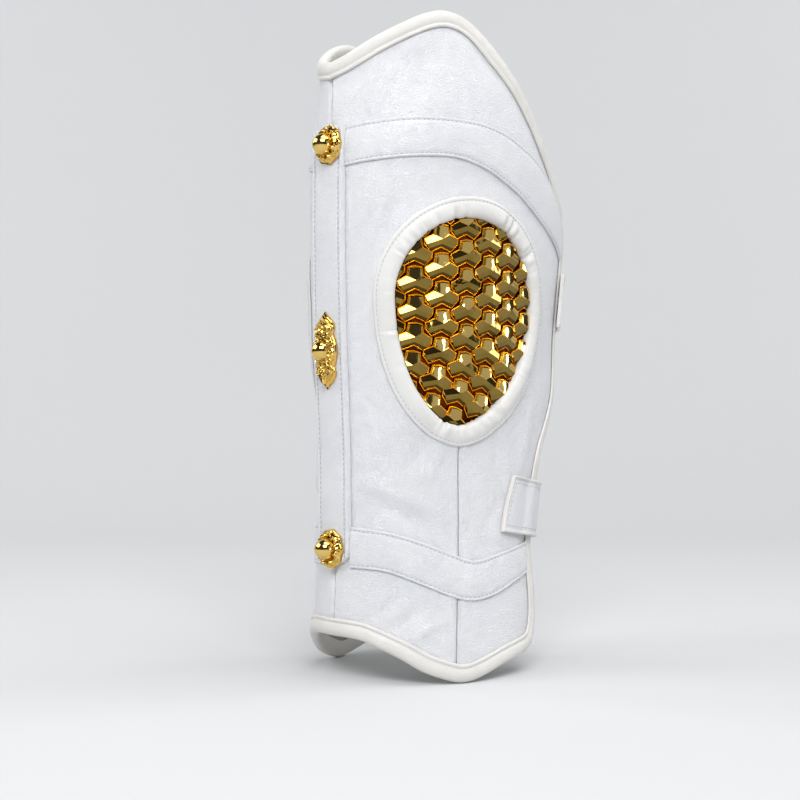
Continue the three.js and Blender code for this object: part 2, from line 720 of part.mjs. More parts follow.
// A medallion is turned to face out from the strip, its back a small gap off the leather.
function seat(mesh, aside, up) {
  const normal = faceNormal(0, up);
  const upright = new THREE.Vector3(0, -normal.z, -normal.y).normalize();
  if (upright.z < 0) upright.negate();
  upright.addScaledVector(normal, -upright.dot(normal)).normalize();
  const across = upright.clone().cross(normal);
  mesh.quaternion.setFromRotationMatrix(new THREE.Matrix4().makeBasis(across, upright, normal));
  mesh.position.copy(wallPoint(0, up, 2 * seatGap + stripThickness));
  mesh.position.x = aside;
}
seat(add("medallion_upper", buildRoundMedallion(), gold), upperMedallionAside, upperMedallionUp);
seat(add("medallion_middle", buildLongMedallion(), gold), 0, middleMedallionUp);
seat(add("medallion_lower", buildRoundMedallion(), gold), 0, lowerMedallionUp);

export default guard;
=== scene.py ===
# A white leather shin guard of stage armour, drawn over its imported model: two moulded side panels, oval
# windows of gold mountain-pattern scales, a front strip with three gold medallions, bands, a folded binding
# and two tabs. Sizes are in millimetres until a mesh is made. A place on the wall is given unrolled: along is
# the run round the leg from the shin, positive to +X, up is the height, and out is how far off the leather.
import math

import bmesh
import bpy
import numpy as np
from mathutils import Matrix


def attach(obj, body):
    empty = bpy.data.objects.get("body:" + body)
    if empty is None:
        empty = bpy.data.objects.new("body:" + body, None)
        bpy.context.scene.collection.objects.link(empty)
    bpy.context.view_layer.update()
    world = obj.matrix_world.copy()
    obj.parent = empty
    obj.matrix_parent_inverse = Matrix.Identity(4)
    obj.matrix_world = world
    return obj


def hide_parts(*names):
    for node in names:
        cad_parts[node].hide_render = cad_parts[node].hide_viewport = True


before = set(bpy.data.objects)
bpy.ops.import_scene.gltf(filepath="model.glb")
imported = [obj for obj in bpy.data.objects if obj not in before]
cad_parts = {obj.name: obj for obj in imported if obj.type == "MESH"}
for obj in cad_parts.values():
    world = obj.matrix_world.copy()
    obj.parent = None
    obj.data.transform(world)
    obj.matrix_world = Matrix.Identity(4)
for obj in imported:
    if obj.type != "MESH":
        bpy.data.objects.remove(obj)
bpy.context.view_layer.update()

# Side panels. Each is a wall of white pebble-grained leather over a thin stiffener and a fabric lining,
# moulded to the calf. The two meet in a seam down the shin, and each has an oval window cut in it.
guard_height = 418.0
calf_half_width = 60.0
calf_front_depth = 82.5
calf_back_depth = 103.0
panel_width = 216.0
far_rim_drop = 5.0
wall_thickness = 3.0
seam_half_gap = 0.15
dart_along = 85.5
dart_top = 150.0
sides = (("right", False), ("left", True))
window_half_width = 54.5
window_rise = 53.5
window_drop = 79.5
window_up = 237.0
window_along = 99.5
window_sweep = 14.0
window_taper = 1.2

# up as a share of the height, then side, front, back, middle, keen and reach
sections = np.array([
    (0.0, 1.13, 0.975, 0.767, 0.0, 0.95, 0.72),
    (0.1, 1.07, 0.962, 0.752, 0.0, 0.92, 0.745),
    (0.2, 0.985, 0.941, 0.723, 0.0, 0.87, 0.742),
    (0.32, 0.95, 0.945, 0.825, 0.0, 0.86, 0.812),
    (0.42, 0.93, 0.965, 0.965, 0.0, 0.86, 0.95),
    (0.52, 0.95, 0.987, 0.985, 0.0, 0.86, 0.987),
    (0.67, 1.0, 1.0, 1.055, 0.0, 0.86, 1.0),
    (0.73, 1.02, 1.0, 1.035, 0.0, 0.88, 1.0),
    (0.78, 1.035, 0.997, 0.958, 0.0, 0.92, 0.997),
    (0.84, 1.02, 0.988, 0.855, -0.024, 1.05, 0.983),
    (0.92, 0.95, 0.977, 0.745, -0.073, 1.2, 0.963),
    (1.0, 0.83, 0.97, 0.64, -0.145, 1.3, 0.944),
])
# share of the way round the panel, then the height as a share
rim = np.array([
    (0.0, 0.922), (0.05, 0.929), (0.1, 0.941), (0.15, 0.955), (0.23, 0.975), (0.3, 0.991), (0.36, 0.998),
    (0.42, 0.994), (0.48, 0.98), (0.56, 0.951), (0.66, 0.91), (0.76, 0.859), (0.83, 0.818), (0.89, 0.781),
    (0.94, 0.747), (0.97, 0.718), (0.99, 0.686), (1.0, 0.65),
])
hem = np.array([
    (0.0, 0.069), (0.08, 0.069), (0.157, 0.066), (0.243, 0.054), (0.327, 0.0395), (0.408, 0.023),
    (0.49, 0.0117), (0.56, 0.005), (0.61, 0.0055), (0.672, 0.012), (0.78, 0.0258), (0.86, 0.0323),
    (0.928, 0.038), (0.965, 0.047), (0.985, 0.062), (1.0, 0.09),
])
# soft creases pressed in the leather: along, up, length, width, turn in degrees and depth
creases = np.array([
    (62.0, 148.0, 26.0, 5.0, 62.0, -1.3),
    (70.0, 140.0, 20.0, 4.0, 75.0, 1.0),
    (48.0, 160.0, 30.0, 7.0, 48.0, 0.9),
    (118.0, 138.0, 24.0, 5.0, 100.0, -1.2),
    (26.0, 120.0, 26.0, 8.0, 20.0, 0.8),
    (40.0, 300.0, 30.0, 9.0, -60.0, 0.9),
    (30.0, 225.0, 40.0, 9.0, 84.0, -0.9),
    (150.0, 150.0, 30.0, 7.0, 70.0, 1.2),
    (44.0, 106.0, 26.0, 4.5, -24.0, -1.3),
    (50.0, 114.0, 24.0, 5.0, -20.0, 1.2),
    (52.0, 40.0, 19.0, 3.6, 32.0, -1.1),
    (40.0, 47.0, 16.0, 3.4, 36.0, -0.8),
    (66.0, 33.0, 16.0, 3.6, 27.0, 0.9),
    (44.0, 283.0, 15.0, 5.0, 78.0, -1.3),
    (35.0, 280.0, 15.0, 5.0, 78.0, 0.9),
    (56.0, 397.0, 13.0, 7.0, 24.0, 1.2),
    (88.0, 399.0, 11.0, 6.0, -28.0, 1.1),
    (112.0, 385.0, 18.0, 6.0, -42.0, -0.9),
    (60.0, 372.0, 22.0, 10.0, 70.0, -0.7),
    (128.0, 84.0, 15.0, 5.0, -35.0, 1.0),
    (112.0, 100.0, 16.0, 5.0, 60.0, -0.8),
])


def read_table(rows, column, at):
    """A smooth curve through one column of a table, whose first column is the place."""
    keys, values = rows[:, 0], rows[:, column]
    at = np.clip(at, keys[0], keys[-1])
    slopes = np.gradient(values)
    slopes[1:-1] = (values[2:] - values[:-2]) / (keys[2:] - keys[:-2])
    slopes[0] = (values[1] - values[0]) / (keys[1] - keys[0])
    slopes[-1] = (values[-1] - values[-2]) / (keys[-1] - keys[-2])
    i = np.clip(np.searchsorted(keys, at, side="right") - 1, 0, len(keys) - 2)
    width = keys[i + 1] - keys[i]
    t = (at - keys[i]) / width
    bend = slopes[i] * t * (1 - t) ** 2 - slopes[i + 1] * t * t * (1 - t)
    return values[i] + (values[i + 1] - values[i]) * t * t * (3 - 2 * t) + width * bend


def section_point(turn, up):
    """The bare wall at a turn from the shin round to the back, 0 to pi, and on past it."""
    share = up / guard_height
    side = calf_half_width * read_table(sections, 1, share)
    front = calf_front_depth * read_table(sections, 2, share)
    back = calf_back_depth * read_table(sections, 3, share)
    middle = calf_front_depth * read_table(sections, 4, share)
    keen = read_table(sections, 5, share)
    forward = turn <= math.pi / 2
    sine = np.sin(turn)
    x = side * np.sign(sine) * np.abs(sine) ** np.where(forward, keen, 1.0)
    y = middle - np.where(forward, front + middle, back - middle) * np.cos(turn)
    return x, y


wall_ups = np.arange(-20.0, 446.0, 2.0)
wall_runs = np.arange(0.0, 271.0, 1.0)
fine_turns = np.linspace(0.0, 1.4 * math.pi, 1401)
turn_of = np.empty((len(wall_ups), len(wall_runs)))
for row, wall_up in enumerate(wall_ups):
    line_x, line_y = section_point(fine_turns, np.full(fine_turns.shape, wall_up))
    runs = np.concatenate([[0.0], np.cumsum(np.hypot(np.diff(line_x), np.diff(line_y)))])
    turn_of[row] = np.interp(wall_runs, runs, fine_turns)


def bare_wall(along, up):
    """The moulded wall's outer face at an unrolled place."""
    run = np.abs(along)
    i = np.clip((up - wall_ups[0]) / 2.0, 0, len(wall_ups) - 1.001)
    j = np.clip(run, 0, len(wall_runs) - 1.001)
    i0, j0 = i.astype(int), j.astype(int)
    s, t = i - i0, j - j0
    low = turn_of[i0, j0] * (1 - t) + turn_of[i0, j0 + 1] * t
    high = turn_of[i0 + 1, j0] * (1 - t) + turn_of[i0 + 1, j0 + 1] * t
    x, y = section_point(low * (1 - s) + high * s, up)
    return np.stack([np.where(along < 0, -x, x), y, up], axis=-1)


def wall_normal(along, up):
    """The direction that faces straight out of the wall."""
    across = bare_wall(along + 2.5, up) - bare_wall(along - 2.5, up)
    upward = bare_wall(along, up + 2.5) - bare_wall(along, up - 2.5)
    normal = np.cross(across, upward)
    return normal / np.linalg.norm(normal, axis=-1, keepdims=True)


def smooth_step(value, low, high):
    """An even rise from 0 at low to 1 at high."""
    t = np.clip((value - low) / (high - low), 0.0, 1.0)
    return t * t * (3 - 2 * t)


def reach_at(up):
    """How far round the leg a panel goes at a height."""
    return panel_width * read_table(sections, 6, up / guard_height)


def rim_up(share, drop):
    """The height of the top edge at a share of the way round. drop lowers it beside the shin."""
    fade = smooth_step(share, 0.0, 0.16) - smooth_step(share, 0.55, 0.85)
    return guard_height * read_table(rim, 1, share) - drop * fade


def hem_up(share):
    """The height of the bottom edge at a share of the way round."""
    return guard_height * read_table(hem, 1, share)


def window_middle(up):
    """How far round the window's middle line lies, which leans forward below its widest place."""
    share = np.maximum(window_up - up, 0.0) / window_drop
    return window_along - window_sweep * share * share


def window_place(angle, margin):
    """A place on the oval at an angle, let out by a margin."""
    sine, cosine = np.sin(angle), np.cos(angle)
    upper = sine > 0
    up = window_up + (np.where(upper, window_rise, window_drop) + margin) * sine
    span = np.abs(cosine) ** np.where(upper, 1.0, window_taper)
    return window_middle(up) + np.sign(cosine) * (window_half_width + margin) * span, up


oval_angles = np.linspace(0.0, 2 * math.pi, 161)[:-1]
oval = np.stack(window_place(oval_angles, 0.0), axis=-1)


def oval_margin(along, up):
    """How far outside the window's edge a place is, under 0 inside it, and the nearest place on the edge."""
    spots = np.stack([np.abs(along), up], axis=-1).reshape(-1, 2)
    margin = np.empty(len(spots))
    nearest = np.empty_like(spots)
    ahead = np.roll(oval, -1, axis=0)
    run = ahead - oval
    length = (run * run).sum(-1)
    for first in range(0, len(spots), 4000):
        part = spots[first:first + 4000, None, :]
        t = np.clip(((part - oval) * run).sum(-1) / length, 0, 1)
        foot = oval + run * t[..., None]
        gap = np.linalg.norm(part - foot, axis=-1)
        best = gap.argmin(-1)
        rows = np.arange(len(best))
        side = part[:, 0] - oval[best]
        inside = run[best, 0] * side[:, 1] - run[best, 1] * side[:, 0] > 0
        margin[first:first + 4000] = gap[rows, best] * np.where(inside, -1, 1)
        nearest[first:first + 4000] = foot[rows, best]
    return margin.reshape(np.shape(along)), nearest.reshape(np.shape(along) + (2,))


def leather_lift(along, up):
    """How far the leather stands off the moulded form: fuller round the window, flat at the shin, creased."""
    margin, _ = oval_margin(along, up)
    lift = 2.4 * np.exp(-(((margin - 5.0) / 12.0) ** 2))
    run = np.abs(along)
    lift = lift * smooth_step(run, 16.0, 36.0)
    for crease_along, crease_up, length, width, turn, depth in creases:
        turn = math.radians(turn)
        a, b = run - crease_along, up - crease_up
        u = a * math.cos(turn) + b * math.sin(turn)
        v = -a * math.sin(turn) + b * math.cos(turn)
        lift = lift + depth * np.exp(-((u / length) ** 2) - (v / width) ** 2)
    return lift


def on_wall(along, up, out):
    """A place on the leather in space, out from its face."""
    along, up, out = np.broadcast_arrays(*(np.asarray(value, float) for value in (along, up, out)))
    return bare_wall(along, up) + wall_normal(along, up) * (out + leather_lift(along, up))[..., None]


def grid_faces(columns, rows, closed_columns=False, closed_rows=False):
    """Four-sided faces over a grid of points, told column by column."""
    i = np.arange(columns if closed_columns else columns - 1)
    j = np.arange(rows if closed_rows else rows - 1)
    i, j = np.meshgrid(i, j, indexing="ij")
    i, j = i.ravel(), j.ravel()
    i1, j1 = (i + 1) % columns, (j + 1) % rows
    return np.stack([i * rows + j, i1 * rows + j, i1 * rows + j1, i * rows + j1], axis=-1)


def capped_faces(rings, count):
    """Faces over a stack of closed rings of points, with a face over the first and the last."""
    faces = grid_faces(rings, count, False, True).tolist()
    return faces + [list(range(count)), list(range((rings - 1) * count, rings * count))[::-1]]


def thick(outer, inner, faces):
    """A closed body from an outer and an inner face of the same cut, and which of its faces are inside."""
    count = len(outer)
    edges = np.concatenate([faces[:, [0, 1]], faces[:, [1, 2]], faces[:, [2, 3]], faces[:, [3, 0]]])
    keys = edges[:, 0] * count + edges[:, 1]
    back = edges[:, 1] * count + edges[:, 0]
    rim_edges = edges[~np.isin(keys, back)]
    a, b = rim_edges[:, 0], rim_edges[:, 1]
    sides = np.stack([b, a, a + count, b + count], axis=-1)
    all_faces = np.concatenate([faces, faces[:, ::-1] + count, sides])
    inside = np.concatenate([np.zeros(len(faces)), np.ones(len(faces)), np.zeros(len(sides))]).astype(int)
    return np.concatenate([outer, inner]), all_faces, inside


def make_piece(name, points, faces, looks, face_looks=None, places=None, crisp=None, far=False):
    """A mesh object from points in millimetres. far puts it on the other side of the leg."""
    points = np.array(points, float).reshape(-1, 3) * 0.001
    faces = [list(map(int, face)) for face in faces]
    if far:
        points[:, 0] *= -1
        faces = [face[::-1] for face in faces]
    mesh = bpy.data.meshes.new(name)
    mesh.from_pydata(points.tolist(), [], faces)
    for look in looks:
        mesh.materials.append(look)
    if face_looks is not None:
        mesh.polygons.foreach_set("material_index", np.asarray(face_looks, np.int32))
    if places is not None:
        layer = mesh.uv_layers.new(name="Unrolled")
        corners = np.empty(len(mesh.loops), np.int32)
        mesh.loops.foreach_get("vertex_index", corners)
        layer.data.foreach_set("uv", (np.asarray(places, float).reshape(-1, 2)[corners] * 0.001).ravel())
    mesh.polygons.foreach_set("use_smooth", np.ones(len(mesh.polygons), bool))
    mesh.update()
    if crisp is not None:
        mesh.set_sharp_from_angle(angle=math.radians(crisp))
    piece = bpy.data.objects.new(name, mesh)
    bpy.context.scene.collection.objects.link(piece)
    return piece


def face_outward(piece):
    """Turn every face of a closed piece outward."""
    work = bmesh.new()
    work.from_mesh(piece.data)
    bmesh.ops.recalc_face_normals(work, faces=work.faces)
    work.to_mesh(piece.data)
    work.free()


def stand_for(piece, node):
    """The piece is seen in place of its solid, and stays with the guard."""
    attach(piece, "root")
    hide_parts(node)


class Wire:
    """What comes out of a node, on which the usual signs work."""

    def __init__(self, bench, socket):
        self.bench, self.socket = bench, socket

    def sum(self, operation, first, second):
        return self.bench.node("ShaderNodeMath", {"operation": operation}, {0: first, 1: second})

    def __add__(self, other):
        return self.sum("ADD", self, other)

    def __radd__(self, other):
        return self.sum("ADD", other, self)

    def __sub__(self, other):
        return self.sum("SUBTRACT", self, other)

    def __rsub__(self, other):
        return self.sum("SUBTRACT", other, self)

    def __mul__(self, other):
        return self.sum("MULTIPLY", self, other)

    def __rmul__(self, other):
        return self.sum("MULTIPLY", other, self)

    def __getitem__(self, name):
        return Wire(self.bench, self.socket.node.outputs[name])


class Bench:
    """A node tree being wired, of a finish or of a shape."""

    def __init__(self, tree):
        self.tree = tree

    def node(self, kind, settings=None, sockets=None, stops=None):
        made = self.tree.nodes.new(kind)
        for key, value in (settings or {}).items():
            setattr(made, key, value)
        if stops:
            while len(made.color_ramp.elements) < len(stops):
                made.color_ramp.elements.new(0.5)
            for element, (position, colour) in zip(made.color_ramp.elements, stops):
                element.position, element.color = position, (*colour, 1.0)
        for key, value in (sockets or {}).items():
            if isinstance(value, Wire):
                self.tree.links.new(value.socket, made.inputs[key])
            else:
                made.inputs[key].default_value = value
        return Wire(self, made.outputs[0]) if made.outputs else made

    def noise(self, where, scale, detail=2.0, **more):
        """A cloudy pattern."""
        sockets = {"Vector": where, "Scale": scale, "Detail": detail, **more}
        return self.node("ShaderNodeTexNoise", None, sockets)["Fac"]

    def ramp(self, share, *stops):
        """Colours along a share from 0 to 1."""
        return self.node("ShaderNodeValToRGB", None, {"Fac": share}, stops=stops)

    def remap(self, value, low, high, at_low, at_high, **settings):
        """A value moved from one range to another and held at its ends."""
        return self.node("ShaderNodeMapRange", settings, {0: value, 1: low, 2: high, 3: at_low, 4: at_high})

    def blend(self, share, first, second):
        """One colour over another."""
        mixed = self.node("ShaderNodeMix", {"data_type": "RGBA"}, {0: share, 6: first, 7: second})
        return Wire(self, mixed.socket.node.outputs[2])


def start_finish(name):
    """A new material, its node tree and the place on the part."""
    material = bpy.data.materials.new(name)
    material.use_nodes = True
    material.node_tree.nodes.clear()
    bench = Bench(material.node_tree)
    return material, bench, bench.node("ShaderNodeTexCoord")["Object"]


def close_finish(bench, sockets, bump, distance):
    """The shader, the relief on it and the material's own output."""
    if bump is not None:
        sockets["Normal"] = bench.node("ShaderNodeBump", None, {"Height": bump, "Distance": distance})
    shader = bench.node("ShaderNodeBsdfPrincipled", None, sockets)
    bench.node("ShaderNodeOutputMaterial", None, {"Surface": shader})


def leather_finish(name, colour, worn, grain=1.0, dart=None):
    """Coated leather: pebbles, fine creasing, stretch lines, a faint cloudiness and greyed pores. dart is how
    far round the wall a sewn dart lies and how high it runs up, in metres."""
    material, bench, where = start_finish(name)
    drift = bench.node("ShaderNodeTexNoise", None, {"Vector": where, "Scale": 90.0, "Detail": 2.0})["Color"]
    warped = bench.node("ShaderNodeVectorMath", {"operation": "MULTIPLY_ADD"},
                        {0: drift, 1: (0.004, 0.004, 0.004), 2: where})
    furrows = bench.node("ShaderNodeTexVoronoi", {"feature": "DISTANCE_TO_EDGE"},
                         {"Vector": warped, "Scale": 860.0, "Randomness": 1.0})["Distance"]
    pebbles = bench.remap(furrows, 0.0, 0.22, 0.0, 1.0, interpolation_type="SMOOTHSTEP")
    creasing = bench.noise(where, 620.0, 3.0, Roughness=0.6)
    squashed = bench.node("ShaderNodeMapping", None, {"Vector": where, "Scale": (1.0, 1.0, 2.6)})
    stretch = bench.noise(squashed, 105.0, 3.0, Roughness=0.6, Distortion=0.6)
    cloud = bench.noise(where, 26.0, 3.0)
    relief = creasing * (0.2 * grain) + pebbles * (0.42 * grain) + stretch * (0.4 * grain) + cloud * 1.2
    shade = bench.ramp(cloud, (0.36, worn), (0.6, colour))
    pores = bench.remap(pebbles, 0.0, 0.5, 0.3 * grain, 0.0)
    skin = bench.blend(pores, shade, (*(0.92 * c for c in worn), 1.0))
    if dart:
        unrolled = bench.node("ShaderNodeSeparateXYZ", None, {
            "Vector": bench.node("ShaderNodeUVMap", {"uv_map": "Unrolled"})["UV"]})
        offset = bench.node("ShaderNodeMath", {"operation": "ABSOLUTE"}, {0: unrolled["X"] - dart[0]})
        near = bench.remap(offset, 0.0001, 0.0005, 1.0, 0.0)
        seam = near * bench.remap(unrolled["Y"], dart[1], dart[1] + 0.002, 1.0, 0.0)
        skin = bench.blend(seam * 0.6, skin, (0.40, 0.40, 0.42, 1.0))
        relief = relief - seam * 1.2
    gloss = bench.remap(creasing, 0.3, 0.7, 0.28, 0.42)
    close_finish(bench, {"Base Color": skin, "Roughness": gloss, "Specular IOR Level": 0.5}, relief, 0.0006)
    return material


def lining_finish():
    """A brushed knit lining, warmer and flatter than the leather, its cream set down to a grey as painted
    shade for the inside of the guard.
    """
    material, bench, where = start_finish("lining_knit_painted_shade")
    threads = bench.node("ShaderNodeTexVoronoi", None, {"Vector": where, "Scale": 1500.0})["Distance"]
    wear = bench.noise(where, 35.0, 4.0)
    # grey instead of the cloth's cream: painted shade inside the guard
    colour = bench.ramp(wear, (0.35, (0.33, 0.33, 0.30)), (0.65, (0.43, 0.425, 0.39)))
    close_finish(bench, {"Base Color": colour, "Roughness": 0.9, "Sheen Weight": 0.2}, threads, 0.0003)
    return material


white, worn_white = (0.86, 0.865, 0.895), (0.825, 0.835, 0.868)
white_leather = leather_finish("white_leather", white, worn_white)
dart_place = (dart_along * 0.001, dart_top * 0.001)
panel_leather = leather_finish("panel_leather", white, worn_white, dart=dart_place)
lining = lining_finish()


def build_panel(name, node, drop, far):
    """One side panel: its wall with the window cut out, its pinched seam and its sewn dart."""
    shares = np.concatenate([np.linspace(0.0, 0.05, 10)[:-1], np.linspace(0.05, 0.94, 126)[:-1],
                             np.linspace(0.94, 1.0, 16)])
    rows = np.linspace(0.0, 1.0, 168)
    share, row = np.meshgrid(shares, rows, indexing="ij")
    up = hem_up(share) + (rim_up(share, drop) - hem_up(share)) * row
    along = seam_half_gap + share * (reach_at(up) - seam_half_gap)
    faces = grid_faces(len(shares), len(rows))
    along, up = along.ravel(), up.ravel()
    margin, nearest = oval_margin(along, up)
    cut = margin < 0.6
    kept = faces[~cut[faces].any(axis=1)]
    dropped = faces[cut[faces].any(axis=1)]
    lip = np.intersect1d(kept, dropped)
    along[lip], up[lip] = nearest[lip, 0], nearest[lip, 1]
    used, kept = np.unique(kept, return_inverse=True)
    kept = kept.reshape(-1, 4)
    along, up = along[used], up[used]
    seam = -1.3 * np.exp(-((along / 1.3) ** 2))
    from_dart = np.abs(along - dart_along)
    dart = -0.9 * np.exp(-((from_dart / 1.5) ** 2)) * smooth_step(dart_top - up, 0.0, 6.0)
    pucker = 0.35 * np.exp(-(((from_dart - 4.0) / 3.0) ** 2)) * smooth_step(dart_top - up, 0.0, 8.0)
    outer = on_wall(along, up, seam + dart + pucker)
    outer[:, 0] = np.maximum(outer[:, 0], seam_half_gap)
    inner = on_wall(along, up, -wall_thickness)
    inner[:, 0] = np.maximum(inner[:, 0], seam_half_gap)
    points, all_faces, inside = thick(outer, inner, kept)
    places = np.tile(np.stack([along, up], axis=-1), (2, 1))
    piece = make_piece(name, points, all_faces, [panel_leather, lining], inside, places, crisp=50, far=far)
    stand_for(piece, node)


build_panel("panel_leather_right", "side_panel_right", 0.0, False)
build_panel("panel_leather_left", "side_panel_left", far_rim_drop, True)

# Front strip. A flat strip of the same leather, doubled and top-stitched, covers the shin seam from the upper
# band's edge down to the lower band, and its lower corners are rounded.
strip_width = 30.0
strip_thickness = 1.8
strip_top = 345.5
strip_bottom = 73.0
strip_corner = 8.0
strip_stitch_in = 3.0
seat_gap = 0.45


def edge_round(from_edge, radius):
    """How much of its full height a rounded edge has reached, from 0 on the edge to 1."""
    t = np.clip(from_edge / radius, 0.0, 1.0)
    return np.sqrt(np.clip(1 - (1 - t) ** 2, 0, 1))


def seam_dip(from_edge, at, depth):
    """The furrow that a row of stitches pulls in the leather."""
    return -depth * np.exp(-(((from_edge - at) / 0.75) ** 2))


half_steps = np.array([0.0, 0.25, 0.7, 1.4, 2.2, 2.7, 3.0, 3.3, 3.8, 4.8, 6.5, 9.0, 12.0])
asides = np.concatenate([half_steps - strip_width / 2, [0.0], strip_width / 2 - half_steps[::-1]])
strip_rows = np.linspace(0.0, 1.0, 140)
aside, strip_row = np.meshgrid(asides, strip_rows, indexing="ij")
corner_in = np.maximum(np.abs(aside) - (strip_width / 2 - strip_corner), 0.0)
corner_lift = strip_corner - np.sqrt(strip_corner ** 2 - corner_in ** 2)
strip_up = strip_bottom + corner_lift + (strip_top - strip_bottom - corner_lift) * strip_row
from_side = strip_width / 2 - np.abs(aside)
from_end = np.minimum(strip_up - strip_bottom - corner_lift, strip_top - strip_up)
strip_face = on_wall(0.0, strip_up, seat_gap)
face_lift = strip_thickness * (0.35 + 0.65 * edge_round(np.minimum(from_side, from_end), 1.0))
face_lift = face_lift + seam_dip(from_side, strip_stitch_in, 0.5)
face_lift = face_lift + 0.5 * smooth_step(from_side, 3.0, 12.0)
strip_outer = strip_face.copy()
strip_outer[..., 0] = aside
strip_outer[..., 1] -= face_lift
strip_inner = on_wall(aside, strip_up, seat_gap)
points, all_faces, _ = thick(strip_outer.reshape(-1, 3), strip_inner.reshape(-1, 3),
                             grid_faces(len(asides), len(strip_rows)))
strip = make_piece("strip_leather", points, all_faces, [white_leather], crisp=50)
stand_for(strip, "front_strip")

# Stitches. Every seam is a lockstitch, of cream thread on the binding and grey elsewhere. Each stitch is a
# short bead of thread in the furrow that it pulls. One shape tree lays them along any line on the leather.
stitch_pitch = 3.1
stitch_length = 2.5
thread_thickness = 0.55


def thread_finish(name, dark, pale):
    """Spun thread."""
    material, bench, where = start_finish(name)
    fibre = bench.noise(where, 1800.0)
    colour = bench.ramp(fibre, (0.3, dark), (0.7, pale))
    close_finish(bench, {"Base Color": colour, "Roughness": 0.65}, fibre, 0.0001)
    return material


grey_thread = thread_finish("grey_thread", (0.45, 0.46, 0.48), (0.64, 0.65, 0.67))
cream_thread = thread_finish("cream_thread", (0.66, 0.65, 0.62), (0.80, 0.79, 0.76))


def shape_tree(name, numbers):
    """An empty shape tree with a geometry going in and out, and named numbers."""
    tree = bpy.data.node_groups.new(name, "GeometryNodeTree")
    tree.interface.new_socket("Geometry", in_out="INPUT", socket_type="NodeSocketGeometry")
    for label, kind, value in numbers:
        socket = tree.interface.new_socket(label, in_out="INPUT", socket_type=kind)
        if value is not None:
            socket.default_value = value
    tree.interface.new_socket("Geometry", in_out="OUTPUT", socket_type="NodeSocketGeometry")
    bench = Bench(tree)
    return tree, bench, bench.node("NodeGroupInput")


def close_tree(bench, placed, material):
    """The copies made real, painted and sent out of the tree."""
    real = bench.node("GeometryNodeRealizeInstances", None, {"Geometry": placed})
    painted = bench.node("GeometryNodeSetMaterial", None, {"Geometry": real, "Material": material})
    bench.node("NodeGroupOutput", None, {"Geometry": painted})


def stored(bench, label):
    """A direction kept on each point."""
    return bench.node("GeometryNodeInputNamedAttribute", {"data_type": "FLOAT_VECTOR"}, {"Name": label})


def aim(bench, along, outward):
    """A turn whose X follows one direction and whose Z then faces another."""
    first = bench.node("FunctionNodeAlignRotationToVector", {"axis": "X"}, {"Vector": along})
    return bench.node("FunctionNodeAlignRotationToVector", {"axis": "Z", "pivot_axis": "X"},
                      {"Rotation": first, "Vector": outward})


stitch_tree, bench, inputs = shape_tree("Stitch row", [
    ("Pitch", "NodeSocketFloat", stitch_pitch * 0.001),
    ("Stitch Length", "NodeSocketFloat", stitch_length * 0.001),
    ("Thread Thickness", "NodeSocketFloat", thread_thickness * 0.001),
    ("Material", "NodeSocketMaterial", None),
])
line = bench.node("GeometryNodeMeshToCurve", None, {"Mesh": inputs["Geometry"]})
spaced = bench.node("GeometryNodeResampleCurve", {"mode": "LENGTH"},
                    {"Curve": line, "Length": inputs["Pitch"]})
bead = bench.node("GeometryNodeMeshUVSphere", None, {"Segments": 6, "Rings": 5, "Radius": 0.5})
bead_size = bench.node("ShaderNodeCombineXYZ", None, {
    "X": inputs["Thread Thickness"], "Y": inputs["Thread Thickness"], "Z": inputs["Stitch Length"]})
bead_turn = bench.node("GeometryNodeTransform", None, {
    "Geometry": bench.node("GeometryNodeTransform", None, {"Geometry": bead, "Scale": bead_size}),
    "Rotation": (0.0, math.pi / 2, 0.0)})
smooth_bead = bench.node("GeometryNodeSetShadeSmooth", None, {"Geometry": bead_turn})
tangent = bench.node("GeometryNodeInputTangent")
rows_of_beads = bench.node("GeometryNodeInstanceOnPoints", None, {
    "Points": spaced, "Instance": smooth_bead, "Rotation": aim(bench, tangent, stored(bench, "outward"))})
close_tree(bench, rows_of_beads, inputs["Material"])


def grow(name, guide, tree, values):
    """The plain mesh that a shape tree makes from a guide, which is then thrown away."""
    modifier = guide.modifiers.new(tree.name, "NODES")
    modifier.node_group = tree
    for item in tree.interface.items_tree:
        if item.in_out == "INPUT" and item.name in values:
            modifier[item.identifier] = values[item.name]
    bpy.context.view_layer.update()
    graph = bpy.context.evaluated_depsgraph_get()
    mesh = bpy.data.meshes.new_from_object(guide.evaluated_get(graph))
    mesh.name = name
    piece = bpy.data.objects.new(name, mesh)
    bpy.context.scene.collection.objects.link(piece)
    bpy.data.objects.remove(guide)
    return piece


def guide_mesh(name, points, edges, vectors):
    """Points with directions on them, joined by edges or loose, for a shape tree to work from."""
    mesh = bpy.data.meshes.new(name)
    mesh.from_pydata((np.asarray(points) * 0.001).tolist(), edges, [])
    for label, values in vectors.items():
        layer = mesh.attributes.new(label, "FLOAT_VECTOR", "POINT")
        layer.data.foreach_set("vector", np.asarray(values, np.float32).ravel())
    guide = bpy.data.objects.new(name, mesh)
    bpy.context.scene.collection.objects.link(guide)
    return guide


def sew(name, lines, thread):
    """Rows of stitches along lines, each a list of points and outward directions, with closed ones marked."""
    points, edges, normals = [], [], []
    for line_points, line_normals, closed in lines:
        first, count = sum(map(len, points)), len(line_points)
        edges += [(first + k, first + k + 1) for k in range(count - 1)]
        if closed:
            edges.append((first + count - 1, first))
        points.append(np.asarray(line_points))
        normals.append(np.asarray(line_normals))
    guide = guide_mesh(name, np.concatenate(points), edges, {"outward": np.concatenate(normals)})
    row_of_stitches = grow(name, guide, stitch_tree, {"Material": thread})
    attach(row_of_stitches, "root")


